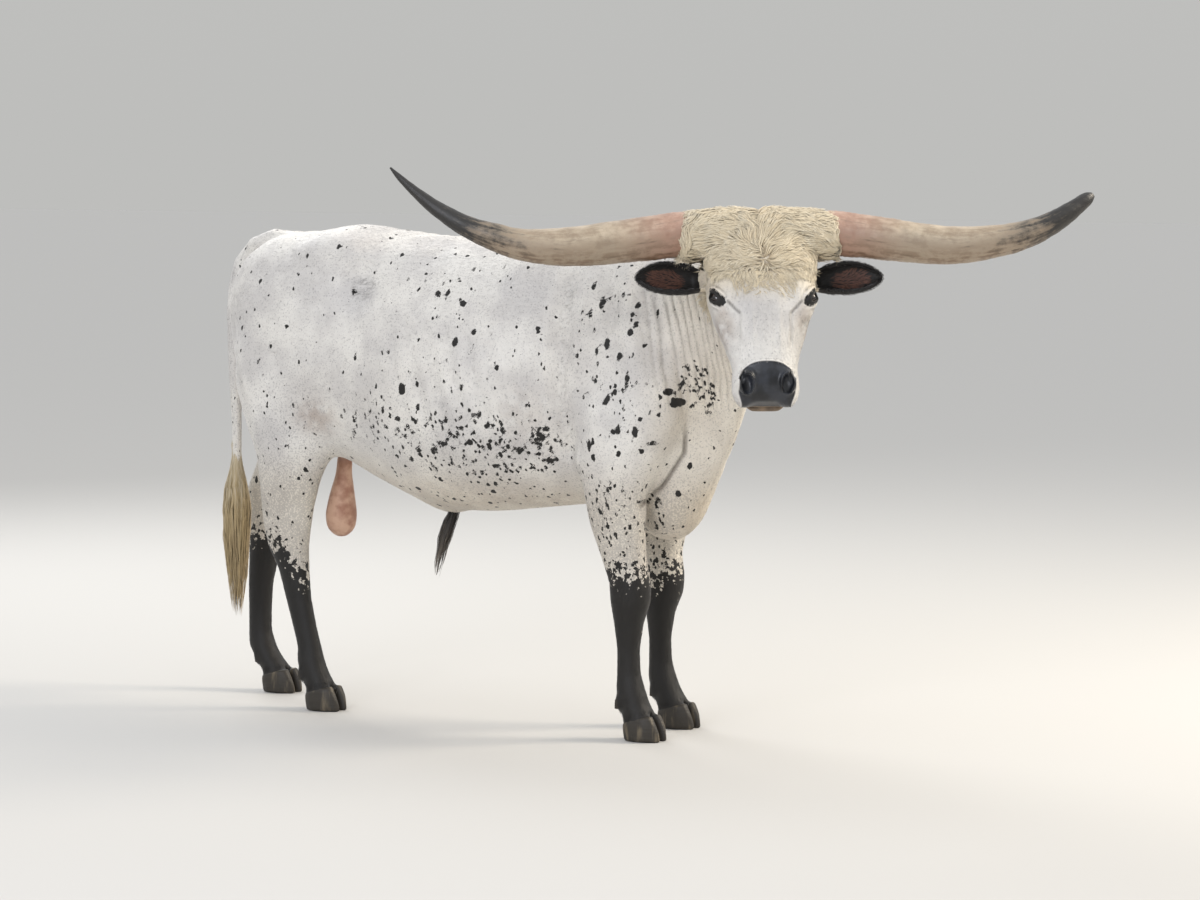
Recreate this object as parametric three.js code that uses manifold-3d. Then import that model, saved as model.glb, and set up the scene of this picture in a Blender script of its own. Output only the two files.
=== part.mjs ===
// A Texas longhorn bull, life size, standing square with its head turned to its right.
// Millimetres. +X is the way the body faces, +Y is its left side and +Z is up.
// The ground is z = 0 and x = 0 is the middle of the barrel until the last lines centre the whole.
import * as THREE from "three";
import { LoftGeometry } from "three/addons/geometries/LoftGeometry.js";
import { mergeVertices } from "three/addons/utils/BufferGeometryUtils.js";
import Module from "manifold-3d";

const wasm = await Module();
wasm.setup();

// Driving dimensions of the bull
const HIP_HEIGHT = 1400;
const WITHERS_HEIGHT = 1380;
const RUMP_X = -845;
const CHEST_X = 765;
const BARREL_WIDTH = 600;
const HEAD_LENGTH = 491;
const POLL_WIDTH = 400;
const HORN_BASE_RADIUS = 59;
const EAR_LENGTH = 190;
const EYE_RADIUS = 21;
const CLAW_LENGTH = 122;
const GAP = 0.3;

// Colours of the coat, skin and horn
const PAINT = {
  coat: new THREE.MeshStandardMaterial({ color: 0xd8d2c8, roughness: 0.85, metalness: 0 }),
  woolly: new THREE.MeshStandardMaterial({ color: 0xcdbb9c, roughness: 0.9, metalness: 0 }),
  speckled: new THREE.MeshStandardMaterial({ color: 0xa8a39b, roughness: 0.85, metalness: 0 }),
  black: new THREE.MeshStandardMaterial({ color: 0x1b1918, roughness: 0.8, metalness: 0 }),
  nose: new THREE.MeshStandardMaterial({ color: 0x2b2c30, roughness: 0.45, metalness: 0 }),
  horn: new THREE.MeshStandardMaterial({ color: 0xb29a78, roughness: 0.5, metalness: 0 }),
  hoof: new THREE.MeshStandardMaterial({ color: 0x6d6455, roughness: 0.55, metalness: 0 }),
  eye: new THREE.MeshStandardMaterial({ color: 0x17110d, roughness: 0.15, metalness: 0 }),
  scrotum: new THREE.MeshStandardMaterial({ color: 0xb98672, roughness: 0.6, metalness: 0 }),
  switchHair: new THREE.MeshStandardMaterial({ color: 0x8f7850, roughness: 0.9, metalness: 0 }),
};

const vec = (x, y, z) => new THREE.Vector3(x, y, z);
const LEFTWARD = vec(0, 1, 0);
const FORWARD = vec(1, 0, 0);
const UPWARD = vec(0, 0, 1);

// Solids

// A closed solid from a geometry, after its loose normals and seams are merged.
function solid(geometry, frame) {
  const bare = new THREE.BufferGeometry().setAttribute("position", geometry.getAttribute("position").clone());
  if (geometry.index) bare.setIndex(geometry.index.clone());
  if (frame) bare.applyMatrix4(frame);
  const merged = mergeVertices(bare, 1e-3);
  return new wasm.Manifold(
    new wasm.Mesh({
      numProp: 3,
      vertProperties: new Float32Array(merged.attributes.position.array),
      triVerts: new Uint32Array(merged.index.array),
    }),
  );
}

// The geometry of a solid, for the mesh that shows it.
function geometryOf(made) {
  const mesh = made.getMesh();
  const positions = new Float32Array(mesh.numVert * 3);
  for (let i = 0; i < mesh.numVert; i++) {
    positions.set(mesh.vertProperties.subarray(i * mesh.numProp, i * mesh.numProp + 3), i * 3);
  }
  const geometry = new THREE.BufferGeometry();
  geometry.setAttribute("position", new THREE.BufferAttribute(positions, 3));
  geometry.setIndex(new THREE.BufferAttribute(new Uint32Array(mesh.triVerts), 1));
  geometry.computeVertexNormals();
  return geometry;
}

const join = (...solids) => solids.flat().reduce((whole, one) => whole.add(one));

// Its largest closed surface alone, so that no scrap or sealed hollow stays.
function largest(made) {
  return made.decompose().reduce((best, one) => (one.volume() > best.volume() ? one : best));
}

// The side of a solid that a plane's normal points to, and the other side, with a thin gap between.
function partAt(made, point, normal) {
  const n = normal.clone().normalize();
  const offset = n.dot(point);
  return [
    made.trimByPlane([n.x, n.y, n.z], offset + GAP / 2),
    made.trimByPlane([-n.x, -n.y, -n.z], -offset + GAP / 2),
  ];
}

function ball(centre, radii, frame, across = 16, down = 12) {
  const geometry = new THREE.SphereGeometry(1, across, down);
  geometry.scale(radii.x, radii.y, radii.z);
  geometry.translate(centre.x, centre.y, centre.z);
  return solid(geometry, frame);
}

// A cross section: wide to either side, over and under along up, with squareness 2 for an ellipse.
function section(at, wide, over, under, options = {}) {
  const { side = LEFTWARD, up = UPWARD, square = 2, squareUnder = square } = options;
  return [...at, ...side, ...up, wide, over, under, square, squareUnder];
}

// Sections between the named ones, on one cubic through all of their numbers.
function smoothed(sections, steps) {
  const centre = (s) => vec(s[0], s[1], s[2]);
  const knots = [0];
  for (let i = 1; i < sections.length; i++) {
    knots.push(knots[i - 1] + Math.max(1, centre(sections[i]).distanceTo(centre(sections[i - 1]))));
  }
  const slope = (i, k) => {
    const before = Math.max(0, i - 1);
    const after = Math.min(sections.length - 1, i + 1);
    return (sections[after][k] - sections[before][k]) / (knots[after] - knots[before]);
  };
  const out = [];
  for (let i = 0; i < sections.length - 1; i++) {
    const span = knots[i + 1] - knots[i];
    for (let step = 0; step < steps; step++) {
      const t = step / steps;
      const [t2, t3] = [t * t, t * t * t];
      out.push(
        sections[i].map(
          (value, k) =>
            value * (2 * t3 - 3 * t2 + 1) +
            sections[i + 1][k] * (3 * t2 - 2 * t3) +
            span * (slope(i, k) * (t3 - 2 * t2 + t) + slope(i + 1, k) * (t3 - t2)),
        ),
      );
    }
  }
  out.push(sections[sections.length - 1]);
  return out;
}

// The points of one section's rim, grown outwards by grow. At phase 0 the first point is at the side.
function rim(numbers, sides, grow = 0, phase = 0.5) {
  const [x, y, z, sx, sy, sz, ux, uy, uz, wide, over, under, square, squareUnder] = numbers;
  const side = vec(sx, sy, sz).normalize();
  const up = vec(ux, uy, uz).normalize();
  const points = [];
  for (let i = 0; i < sides; i++) {
    const angle = ((i + phase) / sides) * Math.PI * 2;
    const [c, s] = [Math.cos(angle), Math.sin(angle)];
    const power = 2 / (s > 0 ? square : squareUnder);
    const reach = (s > 0 ? over : under) + grow;
    points.push(
      vec(x, y, z)
        .addScaledVector(side, Math.sign(c) * Math.abs(c) ** power * (wide + grow))
        .addScaledVector(up, Math.sign(s) * Math.abs(s) ** power * reach),
    );
  }
  return points;
}

// A closed loft through sections, with rims that run the way the loft needs, grown on all sides.
function loft(sections, { sides = 16, steps = 2, grow = 0, phase = 0.5, frame } = {}) {
  const all = smoothed(sections, steps);
  const rims = all.map((numbers) => rim(numbers, sides, grow, phase));
  const wayTo = (i) => vec(...all[i].slice(0, 3)).sub(vec(...all[i - 1].slice(0, 3))).normalize();
  const facing = vec(...all[0].slice(3, 6)).cross(vec(...all[0].slice(6, 9)));
  if (facing.dot(wayTo(1)) < 0) rims.forEach((points) => points.reverse());
  const last = all.length - 1;
  rims[0].forEach((point) => point.addScaledVector(wayTo(1), -grow));
  rims[last].forEach((point) => point.addScaledVector(wayTo(last), grow));
  return solid(new LoftGeometry(rims, { capStart: true, capEnd: true }), frame);
}

// Seeded random draws, so that every build is the same.
function dice(seed) {
  let state = seed;
  return () => {
    state = (state * 1664525 + 1013904223) % 4294967296;
    return state / 4294967296;
  };
}

// Locks of hair

const LOCK_SHAPE = [0.72, 1, 0.94, 0.62, 0.12];

// One flat lock that tapers to its tip. Its flat side looks the way of its faces.
function lock(points, faces, width, thick) {
  const steps = points.length - 1;
  const sections = points.map((point, i) => {
    const way = points[Math.min(steps, i + 1)].clone().sub(points[Math.max(0, i - 1)]).normalize();
    const side = way.clone().cross(faces[i]).normalize();
    const place = (i / steps) * (LOCK_SHAPE.length - 1);
    const low = Math.min(LOCK_SHAPE.length - 2, Math.floor(place));
    const full = THREE.MathUtils.lerp(LOCK_SHAPE[low], LOCK_SHAPE[low + 1], place - low);
    const half = 0.5 * thick * Math.sqrt(full);
    return section(point.toArray(), 0.5 * width * full, half, half, { side, up: side.clone().cross(way) });
  });
  return loft(sections, { sides: 4, steps: 1, phase: 0 });
}

// Torso: sections along the spine, each with the height of its back and of its belly.
const TORSO_SECTIONS = [
  { x: RUMP_X, back: 1235, belly: 1130, wide: 40, square: 2 },
  { x: -812, back: 1292, belly: 985, wide: 108, square: 2.1 },
  { x: -750, back: 1345, belly: 880, wide: 168, square: 2.1 },
  { x: -670, back: 1376, belly: 805, wide: 215, square: 2.2 },
  { x: -560, back: 1374, belly: 765, wide: 240, square: 2.4 },
  { x: -410, back: HIP_HEIGHT - 4, belly: 705, wide: 250, square: 2.8 },
  { x: -290, back: 1384, belly: 650, wide: 258, square: 2.2 },
  { x: -130, back: 1368, belly: 598, wide: 0.485 * BARREL_WIDTH, square: 2 },
  { x: 40, back: 1362, belly: 588, wide: 0.5 * BARREL_WIDTH, square: 1.95 },
  { x: 210, back: 1364, belly: 606, wide: 0.475 * BARREL_WIDTH, square: 1.85 },
  { x: 370, back: 1374, belly: 625, wide: 246, square: 1.75 },
  { x: 500, back: WITHERS_HEIGHT, belly: 632, wide: 226, square: 1.65 },
  { x: 610, back: 1355, belly: 640, wide: 208, square: 1.75 },
  { x: 700, back: 1270, belly: 680, wide: 175, square: 1.9 },
  { x: CHEST_X, back: 1130, belly: 780, wide: 104, square: 2 },
];

function torsoBody() {
  return loft(
    TORSO_SECTIONS.map(({ x, back, belly, wide, square }) => {
      const middle = belly + 0.48 * (back - belly);
      return section([x, 0, middle], wide, back - middle, middle - belly, { square, squareUnder: 2.1 });
    }),
    { sides: 20, steps: 2 },
  );
}

// The hip bones and pin bones, which stand out under the skin.
function rumpBones(side) {
  return [
    ball(vec(-400, side * 104, 1290), vec(176, 112, 90), undefined, 12, 8),
    ball(vec(-716, side * 58, 1195), vec(112, 74, 118), undefined, 9, 7),
  ];
}

// Head frame: +X runs down the face from the poll, +Y to its left and +Z out of the forehead.
const POLL = vec(1070, -292, 1440);
const HEAD_TURN = THREE.MathUtils.degToRad(-54);
const HEAD_TILT = THREE.MathUtils.degToRad(26);
const HEADING = vec(Math.cos(HEAD_TURN), Math.sin(HEAD_TURN), 0);
const DOWN_FACE = UPWARD.clone()
  .multiplyScalar(-Math.cos(HEAD_TILT))
  .addScaledVector(HEADING, Math.sin(HEAD_TILT));
const HEAD_LEFT = UPWARD.clone().cross(HEADING);
const OUT_OF_FACE = DOWN_FACE.clone().cross(HEAD_LEFT);
const HEAD = new THREE.Matrix4().makeBasis(DOWN_FACE, HEAD_LEFT, OUT_OF_FACE).setPosition(POLL);
const inHead = (down, left, out) => vec(down, left, out).applyMatrix4(HEAD);

// Neck: sections from the chest to the back of the skull, bending to the bull's right.
function neckBody() {
  const turned = (degrees) => {
    const angle = THREE.MathUtils.degToRad(degrees);
    return vec(-Math.sin(angle), Math.cos(angle), 0);
  };
  return loft(
    [
      section([440, 0, 1040], 170, 300, 330, { side: turned(0), square: 1.8 }),
      section([600, 0, 1060], 178, 285, 300, { side: turned(-6), square: 1.8 }),
      section([740, -14, 1110], 160, 245, 275, { side: turned(-14), square: 1.85 }),
      section([860, -62, 1160], 138, 222, 235, { side: turned(-26), square: 1.9 }),
      section([955, -132, 1205], 122, 196, 190, { side: turned(-38), square: 2 }),
      section([1020, -205, 1240], 112, 160, 150, { side: turned(-48), square: 2.1 }),
      section([1058, -258, 1255], 98, 120, 120, { side: turned(-54), square: 2.1 }),
    ],
    { sides: 20, steps: 2 },
  );
}

// Dewlap and brisket: one thin fold from the throat to between the forelegs.
function dewlapBody() {
  const across = (degrees) => {
    const angle = THREE.MathUtils.degToRad(degrees);
    return vec(-Math.sin(angle), Math.cos(angle), 0);
  };
  const fold = (x, y, top, low, wide, degrees) => {
    const half = 0.5 * (top - low);
    return section([x, y, low + half], wide, half, half, { side: across(degrees), square: 2 });
  };
  return loft(
    [
      fold(430, 0, 800, 615, 40, 0),
      fold(530, 0, 900, 560, 84, 0),
      fold(625, 0, 1000, 524, 112, 0),
      fold(704, -4, 1080, 574, 102, -8),
      fold(778, -24, 1130, 712, 64, -20),
      fold(862, -72, 1160, 830, 44, -34),
      fold(930, -132, 1180, 940, 34, -44),
      fold(985, -186, 1180, 1040, 26, -50),
    ],
    { sides: 14, steps: 2 },
  );
}

// Legs: sections from the top down, with reach to the front and to the back of the leg's line.
function limb(rows, side, grow = 0) {
  return loft(
    rows.map(([z, x, y, wide, front, back]) =>
      section([x, side * y, z], wide, front, back, { up: FORWARD, square: 2.1 }),
    ),
    { sides: 14, steps: 1, grow },
  );
}

// Foreleg rows: height, x from the cannon, distance from the midline, half width, front and back reach.
function foreRows({ cannonX, toeY, hoofX }) {
  const lean = (z) => (cannonX - 575) * THREE.MathUtils.clamp((1000 - z) / 500, 0, 1);
  return [
    [1250, 505, 104, 30, 70, 90],
    [1130, 555, 140, 58, 120, 140],
    [1000, 595, 165, 70, 150, 165],
    [880, 604, 178, 78, 155, 165],
    [775, 574 + lean(775), 182, 76, 122, 136],
    [690, 556 + lean(690), 174, 68, 92, 108],
    [590, 552 + lean(590), 160, 56, 76, 88],
    [490, 562 + lean(490), (150 + toeY) / 2, 50, 62, 68],
    [430, cannonX, (142 + toeY) / 2, 51, 60, 60],
    [380, cannonX - 2, (138 + toeY) / 2, 51, 60, 56],
    [325, cannonX - 4, toeY, 38, 42, 46],
    [250, cannonX - 5, toeY, 29, 31, 36],
    [180, cannonX - 3, toeY, 30, 32, 38],
    [132, cannonX + 0.1 * (hoofX - cannonX), toeY, 40, 38, 46],
    [98, cannonX + 0.4 * (hoofX - cannonX), toeY, 40, 38, 44],
    [66, hoofX - 10, toeY, 46, 48, 54],
    [46, hoofX - 4, toeY, 48, 54, 60],
  ];
}

// Hind leg rows, in the same columns.
function hindRows({ hockX, cannonX, hoofX, toeY }) {
  const swing = (z) => (hockX + 600) * THREE.MathUtils.clamp((1150 - z) / 550, 0, 1);
  return [
    [1250, -520, 120, 46, 110, 140],
    [1150, -545, 148, 70, 165, 190],
    [1040, -560 + swing(1040), 158, 82, 195, 200],
    [930, -560 + swing(930), 158, 88, 198, 190],
    [835, -556 + swing(835), 152, 88, 178, 162],
    [745, -566 + swing(745), 146, 78, 140, 118],
    [660, -584 + swing(660), 140, 62, 112, 88],
    [590, hockX, 134, 50, 104, 72],
    [530, hockX, 130, 44, 90, 70],
    [465, hockX + 6, (128 + toeY) / 2, 42, 70, 62],
    [400, 0.65 * hockX + 0.35 * cannonX, (126 + toeY) / 2, 36, 48, 50],
    [320, 0.42 * hockX + 0.58 * cannonX - 4, toeY, 31, 38, 44],
    [240, 0.18 * hockX + 0.82 * cannonX - 3, toeY, 30, 35, 40],
    [180, cannonX, toeY, 31, 34, 40],
    [134, cannonX + 0.12 * (hoofX - cannonX), toeY, 39, 38, 46],
    [98, cannonX + 0.45 * (hoofX - cannonX), toeY, 39, 38, 44],
    [66, hoofX - 10, toeY, 44, 46, 52],
    [46, hoofX - 4, toeY, 46, 52, 58],
  ];
}

// Where each leg stands: cannon, hock and hoof along the body, and the toes' distance from the midline.
const LEGS = {
  fore_right: { side: -1, cannonX: 576, hoofX: 618, toeY: 138 },
  fore_left: { side: 1, cannonX: 520, hoofX: 572, toeY: 122 },
  hind_right: { side: -1, hockX: -600, cannonX: -518, hoofX: -466, toeY: 122 },
  hind_left: { side: 1, hockX: -858, cannonX: -874, hoofX: -800, toeY: 118 },
};
const ELBOW_CUT = 690;
const STIFLE_CUT = 745;
for (const [name, leg] of Object.entries(LEGS)) {
  const isFore = name.startsWith("fore");
  leg.rows = isFore ? foreRows(leg) : hindRows(leg);
  leg.cut = isFore ? ELBOW_CUT : STIFLE_CUT;
}
const CORONET = { height: 64, slope: 0.24 };
const MID_JOINT = { fore: 330, hind: 440 };

// The plane in which the hair ends at the hoof: high at the toe and low at the heel.
function coronetPlane(hoofX) {
  return { point: vec(hoofX, 0, CORONET.height), normal: vec(-CORONET.slope, 0, 1) };
}

// One claw: flat inside, rounded outside, pointed at the toe, on a flat sole.
function claw({ side, toeY, hoofX }, inner) {
  const away = inner ? -side : side;
  const cleft = 3.5;
  const outline = (z, toe, heel, wide) => {
    const points = [];
    const sides = 10;
    for (let i = 0; i < sides; i++) {
      const angle = (i / sides) * Math.PI * 2;
      const [c, s] = [Math.cos(angle), Math.sin(angle)];
      const reach = c > 0 ? toe * c : heel * c;
      const bulge = s > 0 ? wide * s ** 0.75 * (1 - 0.35 * Math.max(0, c) ** 3) : -2 * s;
      points.push(vec(hoofX + reach, side * toeY + away * (cleft + bulge), z(hoofX + reach)));
    }
    if (away > 0) return points;
    return points.reverse();
  };
  const coronet = (below) => (x) => CORONET.height - below + CORONET.slope * (x - hoofX);
  const rims = [
    outline(() => 0, 0.58 * CLAW_LENGTH, 0.44 * CLAW_LENGTH, 45),
    outline((x) => 36 + 0.1 * (x - hoofX), 0.52 * CLAW_LENGTH, 0.47 * CLAW_LENGTH, 49),
    outline(coronet(10), 0.44 * CLAW_LENGTH, 0.48 * CLAW_LENGTH, 48),
    outline(coronet(GAP), 0.4 * CLAW_LENGTH, 0.46 * CLAW_LENGTH, 44),
  ];
  return solid(new LoftGeometry(rims, { capStart: true, capEnd: true }));
}

function dewclaw(leg, inner, legGrown) {
  const away = inner ? -1 : 1;
  const centre = vec(leg.hoofX - 62, leg.side * leg.toeY + away * 21, 108);
  const pointed = loft(
    [
      section([centre.x + 14, centre.y, 126], 15, 14, 14, { up: FORWARD }),
      section([centre.x, centre.y, 110], 17, 15, 15, { up: FORWARD }),
      section([centre.x - 9, centre.y, 86], 9, 8, 8, { up: FORWARD }),
    ],
    { sides: 6, steps: 1 },
  );
  return largest(pointed.subtract(legGrown));
}

// Face: sections down the head. Over is the forehead and nose side and under is the jaw side.
function faceBody(grow = 0) {
  const face = (down, out, wide, over, under, square, squareUnder) =>
    section([down, 0, out], wide, over, under, { side: LEFTWARD, up: UPWARD, square, squareUnder });
  return loft(
    [
      face(-24, -80, 90, 34, 50, 2.4, 2),
      face(4, -82, 120, 56, 76, 2.6, 2),
      face(70, -86, 140, 72, 106, 2.8, 2.1),
      face(140, -88, 146, 83, 130, 2.8, 2.1),
      face(205, -90, 142, 93, 146, 2.7, 2.1),
      face(255, -92, 127, 90, 148, 2.5, 2.1),
      face(306, -90, 108, 80, 128, 2.3, 2.1),
      face(355, -88, 93, 70, 92, 2.2, 2.1),
      face(398, -86, 85, 62, 62, 2.2, 2.1),
      face(430, -86, 84, 58, 46, 2.3, 2.2),
      face(458, -90, 83, 49, 38, 2.4, 2.3),
      face(HEAD_LENGTH - 12, -95, 76, 38, 28, 2.5, 2.3),
      face(HEAD_LENGTH, -101, 60, 24, 18, 2.4, 2.3),
    ],
    { sides: 20, steps: 1, grow, frame: HEAD },
  );
}

// Lower jaw, from the round cheek at the throat to the chin.
function jawBody(grow = 0) {
  const jaw = (down, out, wide, over, under) =>
    section([down, 0, out], wide, over, under, { side: LEFTWARD, up: UPWARD, square: 2.3 });
  return loft(
    [
      jaw(150, -150, 66, 60, 60),
      jaw(195, -170, 100, 70, 84),
      jaw(250, -178, 104, 70, 88),
      jaw(315, -170, 90, 60, 70),
      jaw(375, -154, 70, 40, 46),
      jaw(420, -140, 58, 28, 28),
      jaw(454, -134, 56, 22, 22),
      jaw(480, -131, 51, 18, 17),
      jaw(496, -130, 38, 11, 11),
    ],
    { sides: 16, steps: 1, grow, frame: HEAD },
  );
}

const EYE = { down: 221, left: 117, out: -38 };
const GAZE = { down: -0.05, left: 0.84, out: 0.54 };

function orbits(side) {
  return [
    ball(vec(EYE.down - 14, side * (EYE.left - 36), EYE.out - 16), vec(84, 59, 50), HEAD, 14, 10),
  ];
}

function eyeball(side, grow) {
  const radius = EYE_RADIUS + grow;
  return ball(vec(EYE.down, side * EYE.left, EYE.out), vec(radius, radius, radius), HEAD, 12, 8);
}

// The almond between the lids, cut outwards from the middle of the eye.
function lidOpening(side) {
  const gaze = vec(GAZE.down, side * GAZE.left, GAZE.out).normalize();
  const along = vec(1, side * -0.2, 0.15).cross(gaze).cross(gaze).normalize();
  const across = along.clone().cross(gaze);
  const slit = (reach, long, high) =>
    section(vec(EYE.down, side * EYE.left, EYE.out).addScaledVector(gaze, reach), long, high, high, {
      side: along,
      up: across,
      square: 1.7,
    });
  return loft([slit(6, 13, 8), slit(20, 19, 12), slit(50, 27, 20)], { sides: 12, steps: 1, frame: HEAD });
}

// The block of chin below the line of the mouth, and the slit that parts the lips.
const MOUTH = { down: 450, out: -124, slope: 0.075, back: 378, front: 540, slit: 3.2, lip: 10 };

function mouthBlock(high, low, grow = 0) {
  const length = MOUTH.front - MOUTH.back + 2 * grow;
  const block = new THREE.BoxGeometry(length, 260, high - low + 2 * grow);
  block.translate(0.5 * (MOUTH.front + MOUTH.back) - MOUTH.down, 0, 0.5 * (high + low));
  block.rotateY(-Math.atan(MOUTH.slope));
  block.translate(MOUTH.down, 0, MOUTH.out);
  return solid(block, HEAD);
}

const lipSlit = () =>
  mouthBlock(0.5 * MOUTH.slit, -0.5 * MOUTH.slit).subtract(join(faceBody(-MOUTH.lip), jawBody(-MOUTH.lip)));

// Nostrils: a round pit with a slot that runs up and outwards from it.
const NOSTRIL = { down: 450, left: 54, out: -52 };

function nostril(side) {
  const { down, left, out } = NOSTRIL;
  return join(
    ball(vec(down + 6, side * left, out + 6), vec(27, 18, 26), HEAD, 10, 7),
    ball(vec(down - 10, side * (left + 16), out + 2), vec(22, 11, 16), HEAD, 8, 6),
  );
}

// Poll: the broad crown that both horns grow from.
function pollBody() {
  const half = POLL_WIDTH / 2;
  const crown = (left, wide, reach, down, out) =>
    section([down, left, out], wide, reach, reach, { side: FORWARD, up: UPWARD, square: 2.3 });
  return loft(
    [
      crown(-half - 2, 54, 54, 22, -86),
      crown(-half + 26, 60, 60, 22, -86),
      crown(-0.5 * half, 66, 64, 22, -84),
      crown(0, 70, 66, 22, -82),
      crown(0.5 * half, 66, 64, 22, -84),
      crown(half - 26, 60, 60, 22, -86),
      crown(half + 2, 54, 54, 22, -86),
    ],
    { sides: 16, steps: 1, frame: HEAD },
  );
}

// Wool of the poll: rows of locks that run outwards from the middle to both horns.
const WOOL = {
  axisDown: 45,
  axisOut: -82,
  reach: 190,
  width: 68,
  thick: 24,
  rows: 8,
  firstRow: 40,
  lastRow: 240,
  perRow: 3,
};

function woolLocks(core) {
  const random = dice(7);
  const jitter = (size) => (2 * random() - 1) * size;
  const surface = new THREE.Mesh(geometryOf(core), new THREE.MeshBasicMaterial({ side: THREE.DoubleSide }));
  const caster = new THREE.Raycaster();
  const onCore = (left, degrees, lift) => {
    const angle = THREE.MathUtils.degToRad(degrees);
    const inner = THREE.MathUtils.clamp(left, -WOOL.reach, WOOL.reach);
    const from = inHead(WOOL.axisDown, inner, WOOL.axisOut);
    const way = inHead(Math.cos(angle), 0, Math.sin(angle)).sub(POLL);
    caster.set(from, way);
    const hits = caster.intersectObject(surface);
    const reach = hits[hits.length - 1].distance + lift;
    return { point: from.addScaledVector(way, reach).addScaledVector(HEAD_LEFT, left - inner), way };
  };
  const lifts = [-12, 5, 11, 9];
  const locks = [];
  for (let row = 0; row < WOOL.rows; row++) {
    const degrees = THREE.MathUtils.lerp(WOOL.firstRow, WOOL.lastRow, row / (WOOL.rows - 1));
    for (let k = 0; k < 2 * WOOL.perRow; k++) {
      const side = k % 2 ? 1 : -1;
      const start = -12 + 78 * Math.floor(k / 2) + (row % 2 ? 36 : 0) + jitter(7);
      if (start > 146) continue;
      const turn = degrees + jitter(5);
      const bend = jitter(9) + (degrees < 90 ? 6 : -3);
      const long = 100 + 16 * random();
      const path = lifts.map((lift, i) => {
        const t = i / (lifts.length - 1);
        const left = side * Math.min(208, start + long * t);
        return onCore(left, turn + bend * Math.sin(2.6 * t) - 8 * t * t, lift);
      });
      locks.push(lock(path.map(({ point }) => point), path.map(({ way }) => way), WOOL.width, WOOL.thick));
    }
  }
  return locks;
}

// Horns: out sideways, a little down and forward, then up to the tip, in the head frame.
function hornSections(side) {
  const r = HORN_BASE_RADIUS;
  const rows =
    side < 0
      ? [
          [176, 12, -87, r - 2],
          [214, 15, -85, r],
          [296, 30, -78, 0.985 * r],
          [376, 44, -70, 0.955 * r],
          [462, 58, -60, 0.89 * r],
          [546, 66, -50, 0.82 * r],
          [628, 63, -39, 0.7 * r],
          [704, 44, -30, 0.59 * r],
          [776, 14, -25, 0.47 * r],
          [840, -26, -21, 0.35 * r],
          [896, -74, -20, 0.24 * r],
          [940, -118, -20, 0.145 * r],
          [966, -149, -21, 0.06 * r],
        ]
      : [
          [176, 10, -87, r - 2],
          [208, 12, -85, r],
          [280, 25, -78, 0.98 * r],
          [352, 38, -70, 0.955 * r],
          [430, 53, -62, 0.9 * r],
          [510, 62, -53, 0.84 * r],
          [592, 60, -43, 0.755 * r],
          [668, 49, -34, 0.67 * r],
          [738, 27, -27, 0.565 * r],
          [798, -5, -22, 0.465 * r],
          [842, -36, -20, 0.37 * r],
          [870, -58, -20, 0.29 * r],
          [884, -68, -20, 0.16 * r],
        ];
  return rows.map(([left, down, out, radius], i) => {
    const [before, after] = [rows[Math.max(0, i - 1)], rows[Math.min(rows.length - 1, i + 1)]];
    const way = vec(after[1] - before[1], side * (after[0] - before[0]), after[2] - before[2]).normalize();
    const up = UPWARD.clone().addScaledVector(way, -way.z).normalize();
    return section([down, side * left, out], radius, radius, radius, { side: way.clone().cross(up), up });
  });
}

const horn = (side, grow = 0) => loft(hornSections(side), { sides: 14, steps: 1, grow, frame: HEAD });

// Ears: a leaf that is hollow in front, held out sideways under the horn.
function earSections(side, inside) {
  const root = vec(130, side * 140, -128);
  const thick = inside ? 5 : 0;
  const rows = [
    [-30, 28, 22, 22],
    [4, 30, 22, 26],
    [40, 41, 20, 30],
    [80, 47, 17, 30],
    [120, 45, 13, 26],
    [150, 36, 10, 20],
    [174, 22, 7, 12],
    [EAR_LENGTH, 7, 4, 5],
  ];
  return rows
    .filter(([along]) => !inside || (along > 5 && along < EAR_LENGTH - 10))
    .map(([along, wide, over, under]) =>
      section(
        [root.x - 0.02 * along, root.y + side * along, root.z + 0.12 * along + (inside ? over * 0.55 : 0)],
        wide - 1.4 * thick,
        over * (inside ? 1.4 : 1) + thick,
        under - thick + (inside ? over * 0.55 : 0),
        { side: FORWARD, up: UPWARD, square: 2 },
      ),
    );
}

function earBody(side) {
  const shell = loft(earSections(side, false), { sides: 12, steps: 1, frame: HEAD });
  const cup = loft(earSections(side, true), { sides: 12, steps: 1, frame: HEAD });
  return largest(shell.subtract(cup));
}

// Tail: down from the rump, and its switch of long hair.
function tailSections() {
  const rows = [
    [-640, 0, 1330, 40],
    [-720, 0, 1336, 42],
    [-782, -4, 1318, 40],
    [-826, -10, 1274, 34],
    [-848, -18, 1205, 29],
    [-856, -24, 1110, 24],
    [-854, -28, 1010, 20],
    [-850, -30, 910, 17],
    [-848, -30, 810, 15],
    [-847, -30, 700, 14],
    [-846, -30, 600, 13],
  ];
  return rows.map(([x, y, z, radius], i) => {
    const [before, after] = [rows[Math.max(0, i - 1)], rows[Math.min(rows.length - 1, i + 1)]];
    const way = vec(after[0] - before[0], after[1] - before[1], after[2] - before[2]).normalize();
    const up = LEFTWARD.clone().cross(way).normalize();
    return section([x, y, z], radius, radius, radius, { side: LEFTWARD, up });
  });
}

// Reach of the switch at a height, out to the tips of its hair.
const SWITCH = { x: -850, y: -30, top: 690, locks: 9, width: 36, thick: 15 };
const SWITCH_REACH = [
  [690, 15],
  [640, 27],
  [570, 37],
  [480, 37],
  [390, 29],
  [300, 16],
  [236, 4],
];

function reachAt(z) {
  const i = SWITCH_REACH.findIndex(([height]) => height <= z);
  if (i <= 0) return SWITCH_REACH[i < 0 ? SWITCH_REACH.length - 1 : 0][1];
  const [[high, above], [low, below]] = [SWITCH_REACH[i - 1], SWITCH_REACH[i]];
  return THREE.MathUtils.lerp(below, above, (z - low) / (high - low));
}

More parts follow.
